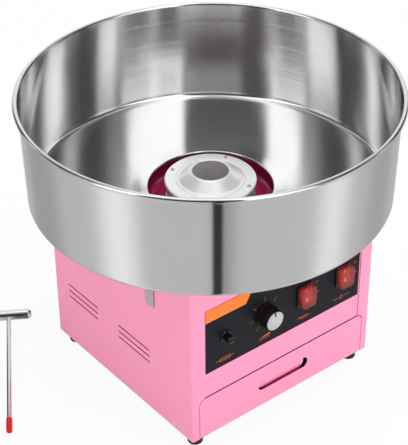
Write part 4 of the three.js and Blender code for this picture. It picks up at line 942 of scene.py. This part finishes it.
def make_fuse_cap():
    """Fluted cap of the fuse carrier, with a slot across its face."""
    radius, length, front, centre = turned_size("fuse_cap")
    outline = rounded([
        (0, 0, 0),
        (FUSE_PIN_RADIUS, 0, 0.3),
        (FUSE_PIN_RADIUS, FUSE_PIN_LENGTH, 0),
        (radius - FUSE_CAP_TAPER, FUSE_PIN_LENGTH, 0.2),
        (radius, FUSE_CAP_TAPER_END, 0.4),
        (radius, length, 1.2),
        (0, length, 0),
    ], 5)

    def flutes(here, height, angle):
        on_side = FUSE_FLUTE_START < height < length - FUSE_FLUTE_END_GAP
        if not on_side or here < radius - FUSE_FLUTE_SKIN:
            return here
        return here - FUSE_FLUTE_DEPTH * (0.5 - 0.5 * math.cos(angle * FUSE_FLUTES))

    mesh = lathe(outline, 192, front_place("fuse_cap"), flutes)
    cap = add_piece("fuse_grip", mesh, "black_plastic", "fuse_carrier", ["fuse_cap"])
    reach = radius + CUT_MARGIN
    start, end = (centre.x - reach, centre.z), (centre.x + reach, centre.z)
    bm = bmesh.new()
    add_bar(bm, start, end, FUSE_SLOT_WIDTH, front - CUT_MARGIN, front + FUSE_SLOT_DEPTH)
    carve(cap, bm)


def make_pull_ledge():
    """Ledge under the drawer pull's pressed flap, which closes the gap below it."""
    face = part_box("drawer_front")[0].y / MM
    bm = bmesh.new()
    left, right = [
        [bm.verts.new((x, face + depth, z)) for depth, z in PULL_LEDGE_OUTLINE]
        for x in (-PULL_LEDGE_HALF_WIDTH, PULL_LEDGE_HALF_WIDTH)
    ]
    bm.faces.new(left)
    bm.faces.new(right[::-1])
    join_rings(bm, left, right)
    # Painted shade: the ledge is the pink pocket floor in shade, shown in the darker rose enamel.
    add_piece("pull_ledge", finish_mesh(bm), "rose_enamel", "drawer")


def add_dome(bm, low, high, inset):
    """Rings of a dome in a box, from its open foot to its top, all moved in by a distance."""
    middle = (low + high) / 2
    half_width = (high.x - low.x) / 2
    half_height = (high.z - low.z) / 2
    levels = [(inset, high.y)]
    for k in range(BOOT_STEPS + 1):
        angle = math.pi / 2 * k / BOOT_STEPS
        narrowing = inset + BOOT_ROUND * (1 - math.cos(angle))
        levels.append((narrowing, low.y + inset + BOOT_ROUND * (1 - math.sin(angle))))
    rings = []
    for narrowing, y in levels:
        corner = BOOT_CORNER - narrowing
        x, z = half_width - narrowing, half_height - narrowing
        outline = rounded([(x, -z, corner), (x, z, corner), (-x, z, corner), (-x, -z, corner)], 8)
        rings.append([bm.verts.new((middle.x + point.x, y, middle.z + point.y)) for point in outline])
    bm.faces.new(rings[-1])
    return rings


def make_boots():
    """Clear splash boots: thin domes with round corners over the rockers."""
    for prefix in ("heat", "power"):
        node = f"{prefix}_switch_boot"
        name = f"{prefix}_boot_moulded"
        low, high = (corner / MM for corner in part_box(node))
        bm = bmesh.new()
        rings = add_dome(bm, low, high, 0.0)[::-1] + add_dome(bm, low, high, BOOT_WALL)
        for ring, after in zip(rings, rings[1:]):
            join_rings(bm, ring, after)
        add_piece(name, finish_mesh(bm), "clear_plastic", NODE_BODIES[node], [node])


def make_feet():
    """Rubber feet with a dished underside."""
    for name in [node for node in frame["nodes"] if node.startswith("foot_")]:
        low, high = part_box(name)
        radius = (high.x - low.x) / (2 * MM)
        height = (high.z - low.z) / MM
        outline = rounded([
            (0, height * FOOT_DISH_DEPTH, 0),
            (radius * FOOT_DISH_RADIUS, height * FOOT_DISH_DEPTH, 0.4),
            (radius * FOOT_DISH_RADIUS, 0, 0.5),
            (radius * FOOT_SOLE_RADIUS, 0, 1.4),
            (radius, height * FOOT_WIDEST_HEIGHT, 1.5),
            (radius * FOOT_TOP_RADIUS, height, 0.6),
            (0, height, 0),
        ], 5)
        centre = (low + high) / (2 * MM)
        mesh = lathe(outline, 64, shift(centre.x, centre.y, low.z / MM))
        add_piece(f"{name}_moulded", mesh, "rubber", "machine", [name])


def make_gland():
    """Cable gland's flange and tapered sleeve."""
    radius, length, front, centre = turned_size("cable_gland")
    flange_end = GLAND_NECK_LENGTH + GLAND_FLANGE
    outline = rounded([
        (GLAND_BORE, 0, 0),
        (GLAND_NECK_RADIUS, 0, 0.4),
        (GLAND_NECK_RADIUS, GLAND_NECK_LENGTH, 0),
        (radius, GLAND_NECK_LENGTH, 0.4),
        (radius, flange_end, 0.8),
        (radius - GLAND_STEP, flange_end + GLAND_BEVEL, 0.5),
        (radius - GLAND_TAPER, GLAND_SLEEVE, 1.5),
        (GLAND_BORE + GLAND_MOUTH_WALL, length, 1.0),
        (GLAND_BORE, length, 0),
    ], 4)
    place = shift(centre.x, front, centre.z) @ Matrix.Rotation(-math.pi / 2, 4, "X")
    mesh = lathe(outline, 72, place)
    add_piece("gland_moulded", mesh, "black_plastic", "machine", ["cable_gland"])


def scoop_heading():
    """Matrix, in millimetres, of the scoop on the floor, with its rod along X."""
    return Matrix.Translation(SCOOP_PLACE) @ Matrix.Rotation(math.radians(SCOOP_HEADING_DEG), 4, "Z")


def make_scoop_cup():
    """Chrome cup across the end of the rod."""
    inner = CUP_RADIUS - CUP_WALL
    outline = rounded([
        (0, 0, 0),
        (CUP_BOTTOM_RADIUS, CUP_BOTTOM_RISE, 3),
        (CUP_RADIUS, CUP_BOTTOM_CORNER, 4),
        (CUP_RADIUS, CUP_LENGTH, 0.4),
        (inner, CUP_LENGTH, 0.4),
        (inner, CUP_FLOOR_CORNER, 3.4),
        (CUP_FLOOR_RADIUS, CUP_FLOOR + CUP_BOTTOM_RISE, 3),
        (0, CUP_FLOOR, 0),
    ], 6)
    across = Matrix.Rotation(math.pi / 2, 4, "X") @ shift(0, 0, CUP_MOUTH_REACH - CUP_LENGTH)
    mesh = lathe(outline, 96, scoop_heading() @ across)
    add_piece("scoop_bowl", mesh, "scoop_steel", "scoop", ["scoop_cup"], slot="polished_steel")


def make_scoop_rod():
    """Chrome rod from the cup down to the floor, and the red tip on its end."""
    drop = math.asin((CUP_RADIUS - TIP_RADIUS) / SCOOP_REACH)
    along = scoop_heading() @ Matrix.Rotation(drop + math.pi / 2, 4, "Y")
    rod_start = CUP_RADIUS + SEAT_GAP
    tip_start = SCOOP_REACH - TIP_LENGTH
    rod_end = tip_start + TIP_LENGTH / 2
    rod = rounded([
        (0, rod_start, 0), (ROD_RADIUS, rod_start, 0.2), (ROD_RADIUS, rod_end, 0.2), (0, rod_end, 0),
    ], 3)
    mesh = lathe(rod, 48, along)
    add_piece("scoop_handle", mesh, "scoop_steel", "scoop", ["scoop_rod"], slot="polished_steel")
    bore = ROD_RADIUS + SEAT_GAP
    bore_end = rod_end + SEAT_GAP
    tip = rounded([
        (0, bore_end, 0), (bore, bore_end, 0), (bore, tip_start, 0),
        (TIP_RADIUS, tip_start, 0.3), (TIP_RADIUS, SCOOP_REACH, 2.2), (0, SCOOP_REACH, 0),
    ], 6)
    mesh = lathe(tip, 48, along)
    add_piece("scoop_end", mesh, "red_plastic", "scoop", ["scoop_tip"])


# Printed marks

def control_centre(node):
    """Middle of a control as (x, z), in millimetres."""
    low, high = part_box(node)
    return (low.x + high.x) / (2 * MM), (low.z + high.z) / (2 * MM)


def plate_print():
    """Front and back of the ink on the control plate, in millimetres."""
    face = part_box("control_plate")[0].y / MM
    return face - PRINT_HEIGHT, face


def add_print(name, bm):
    """Orange ink marks on the control plate."""
    add_piece(name, finish_mesh(bm), "orange_print", "machine", slot="accent_orange")


def make_dial_print():
    """Ticks and plain numbers round the knob."""
    centre_x, centre_z = control_centre("control_knob")
    ink = plate_print()
    bm = bmesh.new()
    for step in range(DIAL_STEPS + 1):
        angle = math.radians(DIAL_SWEEP_DEG / 2 - DIAL_SWEEP_DEG * step / DIAL_STEPS)
        out_x, out_z = -math.sin(angle), math.cos(angle)
        start, end, digit = [
            (centre_x + radius * out_x, centre_z + radius * out_z)
            for radius in (DIAL_RADIUS, DIAL_RADIUS + DIAL_TICK, DIAL_DIGIT_RADIUS)
        ]
        add_bar(bm, start, end, PRINT_LINE, *ink)
        add_text(bm, str(step), DIGIT_SIZE, digit, *ink)
    add_print("dial_print", bm)


def make_switch_print():
    """ON and OFF beside each rocker."""
    bm = bmesh.new()
    for node in ("heat_switch_case", "power_switch_case"):
        x, z = control_centre(node)
        for word, (right, up) in (("ON", ON_OFFSET), ("OFF", OFF_OFFSET)):
            add_text(bm, word, SWITCH_WORD_SIZE, (x + right, z + up), *plate_print())
    add_print("switch_print", bm)


def add_line(bm, points):
    """Printed line through (x, z) points, in straight stretches."""
    for start, end in zip(points, points[1:]):
        add_bar(bm, start, end, PRINT_LINE, *plate_print())


def add_fuse_symbol(bm, x):
    """Box with a wire through it."""
    right, up = FUSE_BOX_HALF_SIZE
    box = [(-right, -up), (right, -up), (right, up), (-right, up), (-right, -up)]
    add_line(bm, [(x + across, LABEL_Z + rise) for across, rise in box])
    add_line(bm, [(x - LEAD_REACH, LABEL_Z), (x + LEAD_REACH, LABEL_Z)])


def add_wedge_symbol(bm, x):
    """Wedge that grows to the right, over a line."""
    left, right = x - WEDGE_HALF_LENGTH, x + WEDGE_HALF_LENGTH
    low, high = LABEL_Z + WEDGE_LOW, LABEL_Z + WEDGE_HIGH
    add_prism(bm, [(left, low), (right, low), (right, high)], *plate_print())
    add_line(bm, [(left, LABEL_Z - WEDGE_LINE_DROP), (right, LABEL_Z - WEDGE_LINE_DROP)])


def add_heater_symbol(bm, x):
    """Zigzag between two leads."""
    length = HEATER_TEETH * HEATER_PITCH
    start = x - length / 2
    points = [(start - HEATER_LEAD, LABEL_Z)]
    for k in range(2 * HEATER_TEETH):
        rise = HEATER_DEPTH if k % 2 == 0 else -HEATER_DEPTH
        points.append((start + (k + 0.5) * HEATER_PITCH / 2, LABEL_Z + rise))
    points += [(start + length, LABEL_Z), (start + length + HEATER_LEAD, LABEL_Z)]
    add_line(bm, points)


def add_power_symbol(bm, x):
    """Open ring with a stroke in its gap, between two leads."""
    add_ring_arc(bm, (x, LABEL_Z), POWER_RADIUS, PRINT_LINE, *POWER_ARC_DEG, *plate_print())
    add_line(bm, [(x, LABEL_Z + rise) for rise in POWER_STROKE])
    for side in (-1, 1):
        add_line(bm, [(x + side * POWER_LEAD_START, LABEL_Z), (x + side * LEAD_REACH, LABEL_Z)])


def make_symbol_print():
    """Plain symbols under the controls: a fuse, a wedge that grows, a heater and mains power."""
    bm = bmesh.new()
    add_fuse_symbol(bm, control_centre("fuse_holder")[0])
    add_wedge_symbol(bm, control_centre("control_knob")[0])
    add_heater_symbol(bm, control_centre("heat_switch_case")[0])
    add_power_symbol(bm, control_centre("power_switch_case")[0])
    add_print("symbol_print", bm)


def make_rocker_print():
    """I and O on each rocker, laid on its curved face."""
    for name in ("heat_rocker", "power_rocker"):
        x, z = control_centre(name)
        bm = bmesh.new()
        add_bar(bm, (x, z + ROCKER_I[0]), (x, z + ROCKER_I[1]), ROCKER_I_WIDTH, 0, PRINT_HEIGHT)
        ring = (x, z - ROCKER_O_DROP)
        add_ring_arc(bm, ring, ROCKER_O_RADIUS, ROCKER_O_WIDTH, 0, 360, 0, PRINT_HEIGHT, 24)
        rocker = frame["nodes"][name].data
        corners = [vertex.co / MM for vertex in rocker.vertices]
        faces = [list(face.vertices) for face in rocker.polygons]
        tree = BVHTree.FromPolygons(corners, faces)
        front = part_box(name)[0].y / MM - ROCKER_RAY_LEAD
        for vertex in bm.verts:
            hit = tree.ray_cast(Vector((vertex.co.x, front, vertex.co.z)), Vector((0, 1, 0)))[0]
            vertex.co.y += hit.y - PRINT_HEIGHT
        body = NODE_BODIES[name]
        add_piece(f"{name}_print", finish_mesh(bm), "white_print", body, slot="white_plastic")


# Studio

# Soft lights and dark flags round the horizon, which only polished surfaces see. Each is a
# bearing from the camera's side of the object, half its width and the width of its soft edge,
# all in degrees, and then the brightness that it adds. The slit lets a share of the light
# through.
ABOVE_BASE = 0.045
ABOVE_CARDS = [
    (-52, 12, 5, 1.6),
    (-70, 9, 14, 0.35),
    (38, 20, 4, 1.6),
    (66, 8, 10, 0.25),
    (108, 7, 4, 0.65),
    (-114, 6, 4, 0.9),
    (180, 36, 12, 1.0),
]
BELOW_BASE = 0.65
BELOW_CARDS = [
    (-61, 12, 20, 0.46),
    (82, 11, 16, 0.42),
    (8, 6, 14, -0.24),
    (128, 14, 16, -0.16),
    (-128, 18, 16, -0.2),
    (180, 17, 4, 0.55),
]
BELOW_SLIT = (4, 3.2, 0.8)
SLIT_SHARE = 0.06
HORIZON_EDGE = (-0.08, 0.02)
OVERHEAD_EDGE = (0.8, 0.97)
OVERHEAD_LIGHT = 0.7
WORLD_LIGHT = 0.78

# Floor: half its side in metres, its grey, and how far the camera sees it as plain white
FLOOR_REACH = 40.0
FLOOR_GREY = 0.92
FLOOR_GLOW = 0.93

# Lamps: place, target and size in metres, and energy in watts
LAMPS = {
    "front_key": ((1.0, -3.2, 0.9), (0, 0, 0.15), 1.6, 44),
    "left_fill": ((-3.2, -0.4, 0.8), (0, 0, 0.15), 1.6, 26),
    "overhead": ((0.2, -0.2, 3.0), (0, 0, 0.28), 1.4, 34),
}

HEAD_PIECES = ["cap_formed", "well_pan"] + [f"cap_screw_{i + 1}" for i in range(SCREW_COUNT)]


def bearing_direction(bearing_deg):
    """Unit vector in plan at a bearing, counted from the camera's side."""
    camera_side = math.radians(-90 + CAMERA_YAW_DEG)
    angle = camera_side + math.radians(bearing_deg)
    return (math.cos(angle), math.sin(angle), 0.0)


def card(graph, direction, bearing, half_width, soft):
    """1 inside a card's bearings and 0 outside."""
    along = graph.vector("DOT_PRODUCT", direction, bearing_direction(bearing))
    cosine = graph.math("MINIMUM", along, 1.0)
    off = graph.math("MULTIPLY", graph.math("ARCCOSINE", cosine), 180 / math.pi)
    return graph.ease(off, half_width - soft / 2, half_width + soft / 2, 1.0, 0.0)


def card_sum(graph, direction, base, cards):
    """Brightness of the studio in a direction: its base and all cards seen there."""
    total = base
    for bearing, half_width, soft, brightness in cards:
        seen = card(graph, direction, bearing, half_width, soft)
        total = graph.math("ADD", graph.math("MULTIPLY", seen, brightness), total)
    return total


def make_world():
    """White for the camera, plain light for surfaces, and a studio for reflections."""
    world = bpy.data.worlds.new("studio")
    bpy.context.scene.world = world
    world.use_nodes = True
    world.node_tree.nodes.clear()
    graph = Graph(world.node_tree)
    direction = graph.add("ShaderNodeTexCoord").outputs["Generated"]
    plan = graph.vector("NORMALIZE", graph.vector("MULTIPLY", direction, (1, 1, 0)))
    height = graph.parts(direction)["Z"]

    overhead = graph.math("MULTIPLY", graph.ease(height, *OVERHEAD_EDGE), OVERHEAD_LIGHT)
    above = graph.math("ADD", card_sum(graph, plan, ABOVE_BASE, ABOVE_CARDS), overhead)
    beside_slit = graph.math("SUBTRACT", 1.0, card(graph, plan, *BELOW_SLIT))
    passed = graph.math("MAXIMUM", beside_slit, SLIT_SHARE)
    below = graph.math("MULTIPLY", card_sum(graph, plan, BELOW_BASE, BELOW_CARDS), passed)
    studio = graph.mix(graph.ease(height, *HORIZON_EDGE), below, above)

    path = graph.add("ShaderNodeLightPath").outputs
    in_gloss = graph.math("MAXIMUM", path["Is Glossy Ray"], path["Is Singular Ray"])
    in_view = graph.math("MAXIMUM", path["Is Camera Ray"], path["Is Transmission Ray"])
    light = graph.mix(in_gloss, WORLD_LIGHT, studio)
    background = graph.add("ShaderNodeBackground")
    graph.feed(background.inputs["Strength"], graph.mix(in_view, light, 1.0))
    output = graph.add("ShaderNodeOutputWorld")
    graph.feed(output.inputs["Surface"], background.outputs[0])


def floor_white():
    """White that the camera sees lit evenly, with the object's shadow still on it."""
    material = bpy.data.materials.new("floor_white")
    material.use_nodes = True
    material.node_tree.nodes.clear()
    graph = Graph(material.node_tree)
    diffuse = graph.add("ShaderNodeBsdfDiffuse")
    diffuse.inputs["Color"].default_value = (FLOOR_GREY, FLOOR_GREY, FLOOR_GREY, 1)
    seen = graph.add("ShaderNodeLightPath").outputs["Is Camera Ray"]
    mix = graph.add("ShaderNodeMixShader")
    graph.feed(mix.inputs["Fac"], graph.math("MULTIPLY", seen, FLOOR_GLOW))
    graph.feed(mix.inputs[1], diffuse.outputs[0])
    graph.feed(mix.inputs[2], graph.add("ShaderNodeEmission").outputs[0])
    output = graph.add("ShaderNodeOutputMaterial")
    graph.feed(output.inputs["Surface"], mix.outputs[0])
    return material


def make_floor():
    """Plain white floor at the level of the lowest point."""
    bm = bmesh.new()
    far, level = FLOOR_REACH, CAD_LOW.z
    corners = [(-far, -far), (far, -far), (far, far), (-far, far)]
    bm.faces.new([bm.verts.new((x, y, level)) for x, y in corners])
    mesh = bpy.data.meshes.new("floor")
    bm.to_mesh(mesh)
    bm.free()
    mesh.materials.append(floor_white())
    floor = new_object("floor", mesh)
    floor.visible_glossy = False


def make_lamps():
    """Soft round lamps, which reflections leave out."""
    for name, (place, target, size, energy) in LAMPS.items():
        data = bpy.data.lights.new(name, "AREA")
        data.shape = "DISK"
        data.size = size
        data.energy = energy
        lamp = new_object(name, data)
        lamp.location = place
        lamp.rotation_euler = (Vector(target) - Vector(place)).to_track_quat("-Z", "Y").to_euler()
        lamp.visible_glossy = False
        lamp.visible_camera = False


def hide_head_from_reflections():
    """Leaves the head and its pan out of reflections, as the bowl in the photograph shows neither."""
    for obj in bpy.context.scene.objects:
        if obj.name in HEAD_PIECES or NODE_BODIES.get(obj.name) == "head":
            obj.visible_glossy = False


def make_camera():
    """Camera at the photograph's viewing angle, aimed at the machine's axis."""
    data = bpy.data.cameras.new("camera")
    data.lens = CAMERA_LENS_MM
    data.sensor_width = CAMERA_SENSOR_MM
    data.clip_start, data.clip_end = CAMERA_CLIP
    camera = new_object("camera", data)
    yaw = math.radians(CAMERA_YAW_DEG)
    pitch = math.radians(CAMERA_PITCH_DEG)
    right = Vector((math.cos(yaw), math.sin(yaw), 0))
    level = math.cos(pitch)
    back = Vector((math.sin(yaw) * level, -math.cos(yaw) * level, math.sin(pitch)))
    target = Vector((0, 0, CAMERA_TARGET_Z)) + right * CAMERA_SIDE_SHIFT
    aim = Matrix.Rotation(yaw, 4, "Z") @ Matrix.Rotation(math.pi / 2 - pitch, 4, "X")
    roll = Matrix.Rotation(math.radians(CAMERA_ROLL_DEG), 4, "Z")
    camera.matrix_world = Matrix.Translation(target + back * CAMERA_DISTANCE) @ aim @ roll
    bpy.context.scene.camera = camera


make_camera()
make_enamels()
make_metals()
make_plastics()
dress_nodes()
make_bowl()
make_well()
make_head_cap()
make_head_screws()
make_knob()
make_knob_cap()
make_fuse_holder()
make_fuse_cap()
make_pull_ledge()
make_boots()
make_feet()
make_gland()
make_scoop_cup()
make_scoop_rod()
make_dial_print()
make_switch_print()
make_symbol_print()
make_rocker_print()
hide_head_from_reflections()
make_world()
make_floor()
make_lamps()

# Colours are shown as they are written
bpy.context.scene.view_settings.view_transform = "Standard"
